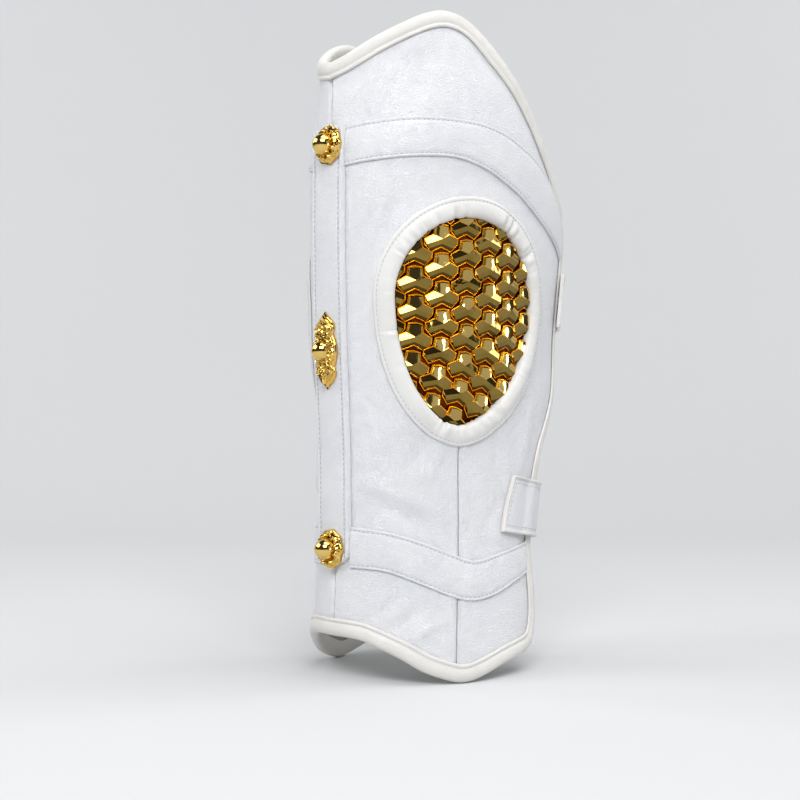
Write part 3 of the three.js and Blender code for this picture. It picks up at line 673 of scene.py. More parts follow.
def wall_line(along, up, out, closed=False, far=False):
    """A line on the leather for a row of stitches."""
    along, up = np.broadcast_arrays(np.asarray(along, float), np.asarray(up, float))
    points, normals = on_wall(along, up, out), wall_normal(along, up)
    if far:
        points, normals = points * (-1, 1, 1), normals * (-1, 1, 1)
    return points, normals, closed


seam_rows = np.linspace(strip_bottom + 9.0, strip_top - 1.5, 160)
strip_lines = []
for side in (-1.0, 1.0):
    line_points = on_wall(0.0, seam_rows, seat_gap + strip_thickness)
    line_points[:, 0] = side * (strip_width / 2 - strip_stitch_in)
    line_points[:, 1] += 0.15
    strip_lines.append((line_points, wall_normal(np.zeros(160), seam_rows), False))
sew("strip_stitches", strip_lines, grey_thread)

# Bands. Two folded strips of leather cross each panel, one above the window and one near the ankle, and end
# at the binding. Each is stitched along both edges.
band_thickness = 1.3
round_gap = 0.65
binding_width = 9.5
# share of the way round the panel, then the lower and the upper edge as shares of the height
upper_band = np.array([
    (0.0, 0.762, 0.82), (0.12, 0.769, 0.829), (0.27, 0.777, 0.837), (0.4, 0.778, 0.837), (0.5, 0.766, 0.833),
    (0.59, 0.747, 0.823), (0.66, 0.73, 0.81), (0.73, 0.709, 0.796), (0.82, 0.684, 0.772), (0.9, 0.662, 0.742),
    (1.0, 0.632, 0.7),
])
lower_band = np.array([
    (0.0, 0.17, 0.232), (0.094, 0.169, 0.23), (0.24, 0.165, 0.224), (0.373, 0.147, 0.209),
    (0.516, 0.125, 0.188), (0.602, 0.119, 0.178), (0.707, 0.125, 0.184), (0.82, 0.139, 0.192),
    (1.0, 0.155, 0.2),
])
band_steps = np.array([0.0, 0.2, 0.6, 1.2, 1.7, 2.1, 2.5, 3.0, 4.0, 6.0])
band_stitch_column = 5


def build_band(name, table, node, far):
    """One band on a panel, from a table of its lower and upper edges. Returns its two lines of stitches."""
    steps = np.linspace(0.0, 1.0, 110)
    rough = guard_height * read_table(table, 2, steps)
    start = strip_width / 2 + 0.05
    end = reach_at(rough) - binding_width - 2 * seat_gap
    share = (start + (end - start) * steps) / reach_at(rough)
    low = guard_height * read_table(table, 1, share)
    high = guard_height * read_table(table, 2, share)
    high = np.minimum(high, rim_up(share, 0.0) - binding_width - 2 * seat_gap)
    width = high - low
    from_low = np.concatenate([np.tile(band_steps, (len(steps), 1)), width[:, None] / 2,
                               width[:, None] - band_steps[::-1]], axis=1)
    from_low = np.clip(from_low, 0.0, width[:, None])
    up = low[:, None] + from_low
    run_end = reach_at(up) - binding_width - 2 * seat_gap
    along = start + (run_end - start) * steps[:, None]
    from_edge = np.minimum(from_low, width[:, None] - from_low)
    height = band_thickness * (0.2 + 0.8 * edge_round(from_edge, 0.9)) + seam_dip(from_edge, 2.1, 0.45)
    height = height + 0.5 * smooth_step(from_edge, 2.2, 9.0)
    outer = on_wall(along, up, round_gap * 0.5 + height)
    inner = on_wall(along, up, round_gap * 0.5)
    points, all_faces, _ = thick(outer.reshape(-1, 3), inner.reshape(-1, 3), grid_faces(*along.shape))
    piece = make_piece(name, points, all_faces, [white_leather], crisp=60, far=far)
    stand_for(piece, node)
    stitch_out = round_gap * 0.5 + band_thickness - 0.35
    columns = (band_stitch_column, -1 - band_stitch_column)
    return [wall_line(along[:, column], up[:, column], stitch_out, far=far) for column in columns]


band_lines = []
for side_name, far in sides:
    band_lines += build_band(f"upper_band_leather_{side_name}", upper_band, f"upper_band_{side_name}", far)
    band_lines += build_band(f"lower_band_leather_{side_name}", lower_band, f"lower_band_{side_name}", far)
sew("band_stitches", band_lines, grey_thread)

# Edge binding. One strip of soft cream leather is folded over the whole edge, rim, rear edges and hem, and
# sewn through. A narrow roll stands along its inner side, and a fuller fold goes over the edge.
def edge_places(drop):
    """The edge of a panel, unrolled: from the shin along the rim, down the rear edge and along the hem."""
    shares = np.concatenate([np.linspace(0, 0.9, 160), np.linspace(0.9, 1.0, 120)[1:]])
    top = np.stack([shares * reach_at(rim_up(shares, drop)), rim_up(shares, drop)], axis=-1)
    ups = np.linspace(rim_up(np.array(1.0), drop), hem_up(np.array(1.0)), 120)[1:-1]
    rear = np.stack([reach_at(ups), ups], axis=-1)
    foot = np.stack([shares * reach_at(hem_up(shares)), hem_up(shares)], axis=-1)[::-1]
    return np.concatenate([top, rear, foot])


def respace(line, step):
    """The same closed line with even steps."""
    full = np.concatenate([line, line[:1]])
    runs = np.concatenate([[0.0], np.cumsum(np.linalg.norm(np.diff(full, axis=0), axis=1))])
    count = int(round(runs[-1] / step))
    at = np.linspace(0.0, runs[-1], count + 1)[:-1]
    return np.stack([np.interp(at, runs, full[:, k]) for k in range(full.shape[1])], axis=-1)


def soften(line, times):
    """A closed line with each point drawn toward its neighbours."""
    for _ in range(times):
        line = 0.5 * line + 0.25 * (np.roll(line, 1, axis=0) + np.roll(line, -1, axis=0))
    return line


def sideways(line, times):
    """The unit direction to the right of a closed line at each of its points, softened along it."""
    step = soften(np.roll(line, -1, axis=0) - np.roll(line, 1, axis=0), times)
    step /= np.linalg.norm(step, axis=1, keepdims=True)
    return np.stack([step[:, 1], -step[:, 0]], axis=-1)


def fold_along(name, line, way, reach, out, look, far=False):
    """A folded strip laid along a closed line on the leather. reach and out are its profile at each point."""
    spots = line[:, None, :] + way[:, None, :] * reach[..., None]
    points = on_wall(spots[..., 0], spots[..., 1], out)
    piece = make_piece(name, points.reshape(-1, 3), grid_faces(*out.shape, True, True), [look], far=far)
    face_outward(piece)
    return piece


far_edge = edge_places(far_rim_drop)[1:-1][::-1] * (-1, 1)
edge_path = respace(np.concatenate([edge_places(0.0), far_edge]), 1.8)
edge_inward = sideways(edge_path, 6)
# inward from the edge, and out from the leather, round the folded strip
binding_profile = np.array([
    (9.3, 0.3), (9.55, 0.8), (9.4, 1.4), (8.8, 1.85), (8.0, 1.9), (7.3, 1.6), (6.9, 1.15), (6.5, 1.35),
    (5.6, 1.9), (4.2, 2.25), (2.6, 2.35), (1.1, 2.15), (-0.3, 1.6), (-1.3, 0.6), (-1.8, -0.7), (-1.85, -2.1),
    (-1.4, -3.4), (-0.4, -4.3), (1.1, -4.8), (4.0, -4.95), (7.5, -4.85), (9.0, -4.6), (9.4, -4.1),
    (9.0, -3.55), (4.5, -3.4), (-0.35, -3.3), (-0.4, -1.5), (-0.35, 0.3), (4.5, 0.3),
])
# soft coated leather, warmer than the panels, with fine grain only
cream_leather = leather_finish("cream_binding", (0.79, 0.775, 0.74), (0.73, 0.71, 0.67), grain=0.45)
binding_stitch_in = 6.9
edge_count = np.arange(len(edge_path))
ripple = 0.12 * np.sin(edge_count * 0.9) * np.sin(edge_count * 0.23 + 1.0)
binding_in, binding_out = binding_profile.T[:, None, :]
binding_out = binding_out + ripple[:, None] * (binding_out > 0.9)
binding = fold_along("binding_leather", edge_path, edge_inward, binding_in, binding_out, cream_leather)
stand_for(binding, "edge_binding")
stitch_spots = edge_path + edge_inward * binding_stitch_in
binding_line = wall_line(stitch_spots[:, 0], stitch_spots[:, 1], 1.0, closed=True)
sew("binding_stitches", [binding_line], cream_thread)

# Window frames. A soft rolled ring of cream leather is sewn round each oval and turned in over the cut edge,
# where it gathers into small pleats. The profile is outward from the edge, and out from the leather.
frame_profile = np.array([
    (11.4, 0.3), (11.7, 0.7), (11.4, 1.15), (10.6, 1.5), (9.9, 1.55), (9.3, 1.3), (8.7, 1.55), (7.5, 2.0),
    (5.5, 2.5), (3.2, 2.8), (1.2, 2.75), (-0.3, 2.3), (-1.3, 1.4), (-1.75, 0.2), (-1.75, -1.6), (-1.75, -3.1),
    (-1.2, -3.3), (-0.65, -3.1), (-0.65, -1.4), (-0.65, 0.3), (5.0, 0.3),
])
frame_stitch_out = 9.3
fold_count = 54
frame_path = respace(np.stack(window_place(np.linspace(0.0, 2 * math.pi, 361)[:-1], 0.0), axis=-1), 0.8)
frame_outward = sideways(frame_path, 30)
# the gathers: narrow folds running out from the lip, close and deep at the top and foot of the oval
dice = np.random.default_rng(11)
frame_count = len(frame_path)
pleat = np.zeros(frame_count)
pleat_length = np.full(frame_count, 3.4)
for _ in range(fold_count):
    at = dice.uniform(0, frame_count)
    fold_up = frame_path[int(at), 1]
    gathered = 0.25 + 0.9 * smooth_step(fold_up, 252.0, 278.0) + 0.8 * smooth_step(-fold_up, -200.0, -172.0)
    away = (np.arange(frame_count) - at + frame_count / 2) % frame_count - frame_count / 2
    width = dice.uniform(1.0, 2.6)
    pleat -= dice.uniform(0.6, 1.5) * gathered * np.exp(-(away / width) ** 2)
    pleat += 0.45 * gathered * np.exp(-((away - 2.2 * width) / (1.5 * width)) ** 2)
    pleat_length += dice.uniform(-0.6, 2.4) * np.exp(-(away / (3 * width)) ** 2)
pleat_length = np.clip(pleat_length, 2.5, 6.5)
frame_leather = leather_finish("cream_frame", (0.80, 0.795, 0.775), (0.74, 0.73, 0.71), grain=0.3)
frame_lines = []
frame_margin, frame_out = frame_profile.T[:, None, :]
pleat_share = np.exp(-(((frame_margin - 0.6) / pleat_length[:, None]) ** 2)) * (frame_out > 0.1)
out = frame_out + pleat[:, None] * pleat_share
reach = frame_margin + np.abs(pleat[:, None]) * (frame_margin < -1.0) * 0.45
stitch_spots = frame_path + frame_outward * frame_stitch_out
for side_name, far in sides:
    ring = fold_along(f"frame_leather_{side_name}", frame_path, frame_outward, reach, out, frame_leather, far)
    stand_for(ring, f"window_frame_{side_name}")
    frame_lines.append(wall_line(stitch_spots[:, 0], stitch_spots[:, 1], 1.5, closed=True, far=far))
sew("frame_stitches", frame_lines, grey_thread)

# Scales. Each is a pressed brass unit, gilt and polished: an upright stem over two drooping arms, with a thin
# turned rim. Rows of them interlock in the old mountain pattern over a lacquered cloth behind the window.
column_pitch = 17.7
row_pitch = 17.4
field_aside = -4.5
field_lift = -5.7
# the corners of a scale's right half: aside, up and out
scale_corners = {
    "top": (0.0, 8.7, 2.2), "shoulder": (4.4, 8.0, 1.9), "stem_side": (4.7, 5.5, 2.0),
    "crook": (5.3, 2.5, 1.95), "arm_top": (11.1, -0.4, 1.4), "arm_tip": (10.9, -3.3, 0.9),
    "arm_low": (6.5, -7.8, 0.4), "notch": (0.0, -4.7, 1.3), "crown": (0.0, 7.7, 3.5),
    "shoulder_in": (3.5, 7.2, 3.3), "stem_in": (3.9, 5.3, 3.4), "crook_in": (4.4, 2.9, 3.5),
    "stem_mid": (0.0, 3.9, 4.0), "heart": (0.0, 0.0, 4.1), "ridge": (10.0, -3.3, 2.4),
    "crease": (0.0, -3.1, 2.9), "crease_end": (8.1, -6.0, 1.3),
}
# the right half's faces, each with its painted shade: a colour set by which way the facet faces, standing in
# for its reflection and shade
scale_facets = [
    (0.8, "top", "crown", "shoulder_in", "shoulder"),
    (0.34, "shoulder", "shoulder_in", "stem_in", "stem_side"),
    (0.34, "stem_side", "stem_in", "crook_in", "crook"),
    (0.82, "crown", "stem_mid", "stem_in", "shoulder_in"),
    (0.82, "stem_mid", "heart", "crook_in", "stem_in"),
    (0.9, "crook_in", "heart", "crook"),
    (0.68, "crook", "heart", "ridge", "arm_top"),
    (0.9, "arm_top", "ridge", "arm_tip"),
    (0.66, "arm_tip", "ridge", "crease_end", "arm_low"),
    (0.6, "heart", "crease", "crease_end", "ridge"),
    (0.48, "crease", "notch", "arm_low", "crease_end"),
]
scale_edge = ["top", "shoulder", "stem_side", "crook", "arm_top", "arm_tip", "arm_low", "notch"]
# the turned rim, outward from those edges: aside, drop below the edge and painted shade (an orange glow in
# the groove and on the rim, dark on the outer wall)
scale_rim = [(0.25, 0.4, 0.26), (0.6, 0.1, 0.34), (0.8, 2.6, 0.04)]


def gold_finish(name, polish, stops):
    """Gilt brass. The depth value on a piece picks its colour: red-brown lacquer in the recesses, then
    painted light: an orange glow on the rims, painted shade in near black, olive painted reflections, up to
    the bare gold colour.
    """
    material, bench, where = start_finish(name)
    smear = bench.noise(where, 70.0, 3.0)
    waves = bench.noise(where, 210.0, 1.0)
    depth = bench.node("ShaderNodeAttribute", {"attribute_name": "depth"})["Fac"]
    colour = bench.ramp(depth + smear * 0.1 - 0.05, *stops)
    dull = bench.remap(depth, 0.3, 0.5, 0.2, 0.0)
    rough = bench.remap(smear, 0.35, 0.7, polish, polish + 0.07)
    close_finish(bench, {"Base Color": colour, "Roughness": rough + dull, "Metallic": 1.0}, waves, 0.00012)
    return material


# colours along the painted shade: red-brown lacquer, orange painted rim glow, near-black painted shade, olive
# painted reflection, bare gold
gold = gold_finish("gilt_scales", 0.03, [
    (0.0, (0.16, 0.04, 0.005)), (0.2, (1.0, 0.42, 0.02)), (0.35, (1.0, 0.64, 0.06)),
    (0.41, (0.07, 0.04, 0.01)), (0.54, (0.10, 0.06, 0.012)), (0.62, (0.31, 0.21, 0.045)),
    (0.84, (0.80, 0.56, 0.18)), (1.0, (1.0, 0.78, 0.36))])


def backing_finish():
    """Dark woven cloth."""
    material, bench, where = start_finish("backing_cloth")
    weave = bench.noise(where, 900.0)
    colour = bench.ramp(weave, (0.3, (0.03, 0.012, 0.004)), (0.7, (0.10, 0.05, 0.015)))
    close_finish(bench, {"Base Color": colour, "Roughness": 0.8}, weave, 0.0003)
    return material


backing_cloth = backing_finish()
backing_lacquer = gold_finish("backing_lacquer", 0.4, [(0.0, (0.16, 0.035, 0.004)), (0.2, (0.5, 0.14, 0.01))])


def paint_gilt_shade(piece, values, domain):
    """The painted shade on each face or point, for the gilt finish to read: painted reflections and shade,
    from dark up to bare gold.
    """
    layer = piece.data.attributes.new("depth", "FLOAT", domain)
    layer.data.foreach_set("value", np.asarray(values, np.float32))


scale_points, scale_index = [], {}
for corner, (x, y, z) in scale_corners.items():
    for hand, sign in (("right", 1), ("left", -1)):
        if x == 0 and hand == "left":
            scale_index[corner, hand] = scale_index[corner, "right"]
        else:
            scale_index[corner, hand] = len(scale_points)
            scale_points.append((sign * x, y, z))
# each facet keeps its painted shade, which the gilt finish turns into painted reflection and shade
scale_faces, scale_facet_shades = [], []
for shade, *corners in scale_facets:
    for hand in ("right", "left"):
        scale_faces.append([scale_index[corner, hand] for corner in corners])
        scale_facet_shades.append(shade)
edge_loop = [scale_index[corner, "right"] for corner in scale_edge]
edge_loop += [scale_index[corner, "left"] for corner in scale_edge[1:-1][::-1]]
edge_spots = np.array([scale_points[k] for k in edge_loop])
edge_run = np.roll(edge_spots[:, :2], -1, axis=0) - np.roll(edge_spots[:, :2], 1, axis=0)
edge_run /= np.linalg.norm(edge_run, axis=1, keepdims=True)
first = len(scale_points)
count = len(edge_loop)
for outward, drop, shade in scale_rim:
    for spot, run in zip(edge_spots, edge_run):
        scale_points.append((spot[0] - run[1] * outward, spot[1] + run[0] * outward, spot[2] - drop))
loops = [edge_loop] + [list(range(first + k * count, first + (k + 1) * count)) for k in range(3)]
for upper, lower, (_, _, shade) in zip(loops, loops[1:], scale_rim):
    for k in range(count):
        n = (k + 1) % count
        scale_faces.append([upper[k], upper[n], lower[n], lower[k]])
        scale_facet_shades.append(shade)
scale_faces.append(loops[3])
scale_facet_shades.append(0.0)
scale_shape = make_piece("one_scale", scale_points, scale_faces, [gold], crisp=24)
paint_gilt_shade(scale_shape, scale_facet_shades, "FACE")
face_outward(scale_shape)

scale_tree, bench, inputs = shape_tree("Scale field", [
    ("Scale", "NodeSocketObject", None),
    ("Tilt", "NodeSocketFloat", 0.045),
    ("Seed", "NodeSocketInt", 7),
    ("Material", "NodeSocketMaterial", None),
])
shape = bench.node("GeometryNodeObjectInfo", {"transform_space": "ORIGINAL"}, {"Object": inputs["Scale"]})
tilt = bench.node("FunctionNodeRandomValue", {"data_type": "FLOAT_VECTOR"},
                  {"Min": (-1.0, -1.0, -1.0), "Max": (1.0, 1.0, 1.0), "Seed": inputs["Seed"]})
small_tilt = bench.node("ShaderNodeVectorMath", {"operation": "SCALE"}, {0: tilt, "Scale": inputs["Tilt"]})
outward = stored(bench, "outward")
tilted = bench.node("ShaderNodeVectorMath", {"operation": "ADD"}, {0: outward, 1: small_tilt})
facing = bench.node("FunctionNodeAlignRotationToVector", {"axis": "Z"}, {"Vector": tilted})
facing = bench.node("FunctionNodeAlignRotationToVector", {"axis": "X", "pivot_axis": "Z"},
                    {"Rotation": facing, "Vector": stored(bench, "across")})
laid = bench.node("GeometryNodeInstanceOnPoints", None, {
    "Points": inputs["Geometry"], "Instance": shape["Geometry"], "Rotation": facing})
close_tree(bench, laid, inputs["Material"])

backing_out = -wall_thickness - round_gap
lip_inset = -1.75 - 0.35
places = []
for column in range(-4, 5):
    for row in range(-6, 6):
        up = window_up + field_lift + row * row_pitch + (0.0 if column % 2 == 0 else row_pitch / 2)
        places.append((window_middle(np.array(up)) + field_aside + column * column_pitch, up))
places = np.array(places)
place_margin, _ = oval_margin(places[:, 0], places[:, 1])
places = places[place_margin < 10.0]
centre = bare_wall(places[:, 0], places[:, 1])
normal = wall_normal(places[:, 0], places[:, 1])
above = places + (0.0, 4.0)
lean = window_middle(above[:, 1]) - window_middle(places[:, 1])
upright = bare_wall(above[:, 0] + lean, above[:, 1]) - centre
across_field = np.cross(upright, normal)
across_field /= np.linalg.norm(across_field, axis=1, keepdims=True)
scale_points = centre + normal * (backing_out + 2.1)
ring_angles = np.linspace(0.0, 2 * math.pi, 73)[:-1]
ring_count = len(ring_angles)
lip_place = window_place(ring_angles, lip_inset)
window_centre = bare_wall(np.array([window_along]), np.array([window_up]))
# rings of the backing, from the middle of its back to the middle of its face: size, margin and out
backing_rings = [
    (0.02, 5.0, -1.6), (0.4, 5.0, -1.6), (0.75, 5.0, -1.6), (1.0, 5.0, -1.6), (1.0, 5.0, 0.0),
    (1.0, -2.0, 0.0), (1.0, -2.0, 1.4), (0.75, -2.0, 1.5), (0.4, -2.0, 1.5), (0.02, -2.0, 1.5),
]


def backing_ring(size, margin, out):
    """The window's oval, let out by a margin and drawn in to a share of its size."""
    along, up = window_place(ring_angles, margin)
    along = window_along + (along - window_along) * size
    up = window_up + (up - window_up) * size
    return bare_wall(along, up) + wall_normal(along, up) * (backing_out + out)


for side_name, far in sides:
    flip = np.array([-1.0, 1.0, 1.0]) if far else np.ones(3)
    guide = guide_mesh("scale_places", scale_points * flip, [],
                       {"outward": normal * flip, "across": across_field * flip * (-1 if far else 1)})
    field = grow(f"scales_gilt_{side_name}", guide, scale_tree, {"Scale": scale_shape, "Material": gold})
    work = bmesh.new()
    work.from_mesh(field.data)
    cut_spots = bare_wall(*lip_place) * flip * 0.001
    cut_ways = np.cross(np.roll(cut_spots, -1, axis=0) - cut_spots, wall_normal(*lip_place) * flip)
    cut_ways /= np.linalg.norm(cut_ways, axis=1, keepdims=True)
    faces_in = ((window_centre * flip * 0.001 - cut_spots) * cut_ways).sum(axis=1) > 0
    cut_ways[faces_in] *= -1
    for spot, way in zip(cut_spots, cut_ways):
        geometry = work.verts[:] + work.edges[:] + work.faces[:]
        bmesh.ops.bisect_plane(work, geom=geometry, plane_co=spot, plane_no=way, clear_outer=True)
    bmesh.ops.holes_fill(work, edges=[e for e in work.edges if e.is_boundary])
    work.to_mesh(field.data)
    work.free()
    field.data.polygons.foreach_set("use_smooth", np.ones(len(field.data.polygons), bool))
    field.data.set_sharp_from_angle(angle=math.radians(24))
    stand_for(field, f"scale_field_{side_name}")
    rings = [backing_ring(*row) for row in backing_rings]
    faces = capped_faces(len(rings), ring_count)
    front_faces = np.zeros(len(faces), int)
    front_faces[5 * ring_count:9 * ring_count] = 1
    cloth = make_piece(f"backing_{side_name}", np.concatenate(rings), faces, [backing_cloth, backing_lacquer],
                       front_faces, far=far)
    face_outward(cloth)
    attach(cloth, "root")
bpy.data.objects.remove(scale_shape)

# Medallions. Three gilt castings are riveted down the strip: two round ones with a ring of cut petals round a
# polished dome, and between them a long one with a pointed leaf above and below its dome.
round_radius = 12.2
dome_radius = 6.8
dome_height = 12.0
dome_seat = 4.0
# colours along the painted shade: orange-brown in the cuts as painted shade, olive painted reflection on the
# dome, bare gold on the peaks
medal_gold = gold_finish("gilt_medallions", 0.06, [
    (0.0, (0.50, 0.17, 0.02)), (0.25, (0.98, 0.56, 0.06)), (0.5, (0.48, 0.33, 0.09)),
    (0.72, (0.80, 0.55, 0.16)), (1.0, (1.0, 0.76, 0.34))])


def seat_medallion(aside, up):
    """Where a medallion sits: its middle, and its across, upright and outward directions."""
    at = np.array([0.0]), np.array([float(up)])
    outward = wall_normal(*at)[0]
    upright = np.array([0.0, 0.0, 1.0]) - outward * outward[2]
    upright /= np.linalg.norm(upright)
    across = np.cross(upright, outward)
    middle = bare_wall(*at)[0] + outward * (2 * seat_gap + strip_thickness)
    middle[0] = aside
    return middle, across, upright, outward


def saw(value):
    """A wave of straight rises and falls, from 0 to 1."""
    return np.abs((value % 1.0) * 2 - 1)


def cast(name, node, outline, relief, sizes, aside, up):
    """A casting of rings in the outline's shape. relief gives the height and the painted shade on each ring,
    darker in the cuts and brighter on the peaks.
    """
    middle, across, upright, outward = seat_medallion(aside, up)
    turns = np.arange(len(outline)) / len(outline)
    rings = [np.concatenate([outline, np.zeros((len(outline), 1))], axis=1)]
    ring_shades = [np.full(len(outline), 0.25)]
    for size in sizes:
        flat = outline * size
        rise, depth = relief(size, turns, flat)
        rings.append(np.concatenate([flat, rise[:, None]], axis=1))
        ring_shades.append(depth)
    local = np.stack(rings)
    points = middle + local[..., :1] * across + local[..., 1:2] * upright + local[..., 2:] * outward
    faces = capped_faces(len(rings), len(outline))
    piece = make_piece(name, points.reshape(-1, 3), faces, [medal_gold], crisp=32)
    paint_gilt_shade(piece, np.concatenate(ring_shades), "POINT")
    face_outward(piece)
    stand_for(piece, node)
    return piece


def foliage(x, y, pitch):
    """Cut leaves and knops over a casting: steep folds that cross each other, from 0 in the cuts to 1."""
    first = saw(x / pitch + 0.35 * np.sin(y * 2.1 / pitch) + 0.2)
    second = saw(y / (pitch * 1.1) + 0.3 * np.sin(x * 2.4 / pitch + 1.0))
    third = saw((x + y) / (pitch * 1.7) + 0.15)
    return np.clip(0.15 + 0.45 * first + 0.5 * second - 0.35 * third, 0, 1)


def dome_on(rise, depth, distance, radius, height, seat):
    """A polished dome over whatever relief it stands in, and its painted shade: an olive painted reflection,
    a little brighter towards its crown.
    """
    over = distance < radius
    bulge = seat + (height - seat) * np.sqrt(np.clip(1 - (distance / radius) ** 2, 0, 1))
    return np.where(over, bulge, rise), np.where(over, 0.62 + 0.12 * bulge / height, depth)


def round_relief(size, turns, flat):
    """A ring of cut petals round the dome, for one ring of the casting."""
    distance = np.linalg.norm(flat, axis=1)
    leaf = foliage(flat[:, 0], flat[:, 1], 2.6)
    petal = saw(turns * 9 + 0.5)
    ring = math.exp(-(((size - 0.76) / 0.13) ** 2))
    rise = 2.0 + ring * (0.9 + 1.4 * petal + 1.6 * leaf)
    # painted shade: the cuts darker, the petals and leaves brighter
    depth = 0.12 + 0.85 * np.clip(0.35 * petal + 0.75 * leaf, 0, 1)
    if size > 0.94:
        rise, depth = np.full(len(rise), 1.3), np.full(len(rise), 0.92)
    return dome_on(rise, depth, distance, dome_radius, dome_height, dome_seat)


circle_turns = np.arange(126) / 126 * 2 * math.pi
round_outline = np.stack([np.cos(circle_turns), np.sin(circle_turns)], axis=-1)
round_outline *= round_radius * (1 + 0.035 * np.cos(9 * circle_turns))[:, None]
round_sizes = np.concatenate([
    [1.0, 0.985, 0.965, 0.945, 0.935], np.linspace(0.91, 0.58, 12), [0.566, 0.557, 0.552],
    0.548 * np.cos(np.linspace(0.12, 1.5, 16))])
cast("medallion_gilt_upper", "medallion_upper", round_outline, round_relief, round_sizes, 3.5, 334.0)
cast("medallion_gilt_lower", "medallion_lower", round_outline, round_relief, round_sizes, 0.0, 81.5)

long_half_height = 24.5
long_half_width = 9.2
long_dome_radius = 6.5
long_dome_height = 11.0
# height and width of a quarter of the long casting, as shares
long_quarter = np.array([
    (1.0, 0.0), (0.95, 0.1), (0.9, 0.22), (0.8, 0.62), (0.68, 0.92), (0.56, 0.98), (0.42, 0.8), (0.3, 1.0),
    (0.12, 1.16), (0.0, 1.18),
])
heights = np.linspace(1.0, 0.0, 44)
long_right = np.stack([np.interp(heights, long_quarter[::-1, 0], long_quarter[::-1, 1]) * long_half_width,
                       heights * long_half_height], axis=-1)
long_right = np.concatenate([long_right, long_right[:-1][::-1] * (1, -1)])
long_outline = np.concatenate([long_right, long_right[1:-1][::-1] * (-1, 1)])[::-1]
long_outline[:, 0] = soften(long_outline[:, :1], 3)[:, 0]


def long_relief(size, turns, flat):
    """Cut leaves that run out to veined tips above and below the dome."""
    x, y = flat[:, 0], flat[:, 1]
    leaf = foliage(x, y, 2.7)
    tip = np.clip((np.abs(y) - 13.0) / 7.0, 0, 1)
    vein = saw((np.abs(x) * 1.1 + np.abs(y)) / 3.4)
    cut = leaf * (1 - tip) + vein * tip
    rise = 1.9 + (0.9 + 2.4 * cut) * smooth_step(0.95 - size, 0.0, 0.12)
    # painted shade: the cuts darker, the leaves and veins brighter
    depth = 0.12 + 0.85 * cut
    if size > 0.86:
        step = 1.0 if size > 0.93 else 2.3
        rise, depth = np.full(len(x), step), np.full(len(x), 0.92 if size > 0.93 else 0.8)
    return dome_on(rise, depth, np.hypot(x, y), long_dome_radius, long_dome_height, dome_seat)


long_sizes = np.concatenate([[1.0, 0.98, 0.95, 0.935, 0.925, 0.9, 0.875, 0.865], np.linspace(0.84, 0.03, 34)])
cast("medallion_gilt_middle", "medallion_middle", long_outline, long_relief, long_sizes, 0.0, 206.0)

# Tabs. Two short leather straps close the back: each is sewn to the far panel, crosses the gap and is held on
# the near panel by a patch of hook tape underneath. Its free edges are bound and stitched.
tab_height = 36.0
tab_thickness = 2.0
tab_anchor_lap = 22.0
tab_slope = -0.15
tab_slant = 0.08
tab_bound_width = 1.7
tab_clearance = 0.55
tab_bow = 1.2
tab_furrows = ((2.6, 0.5), (4.6, 0.3))
binding_thickness = 1.3
binding_reveal = 1.6


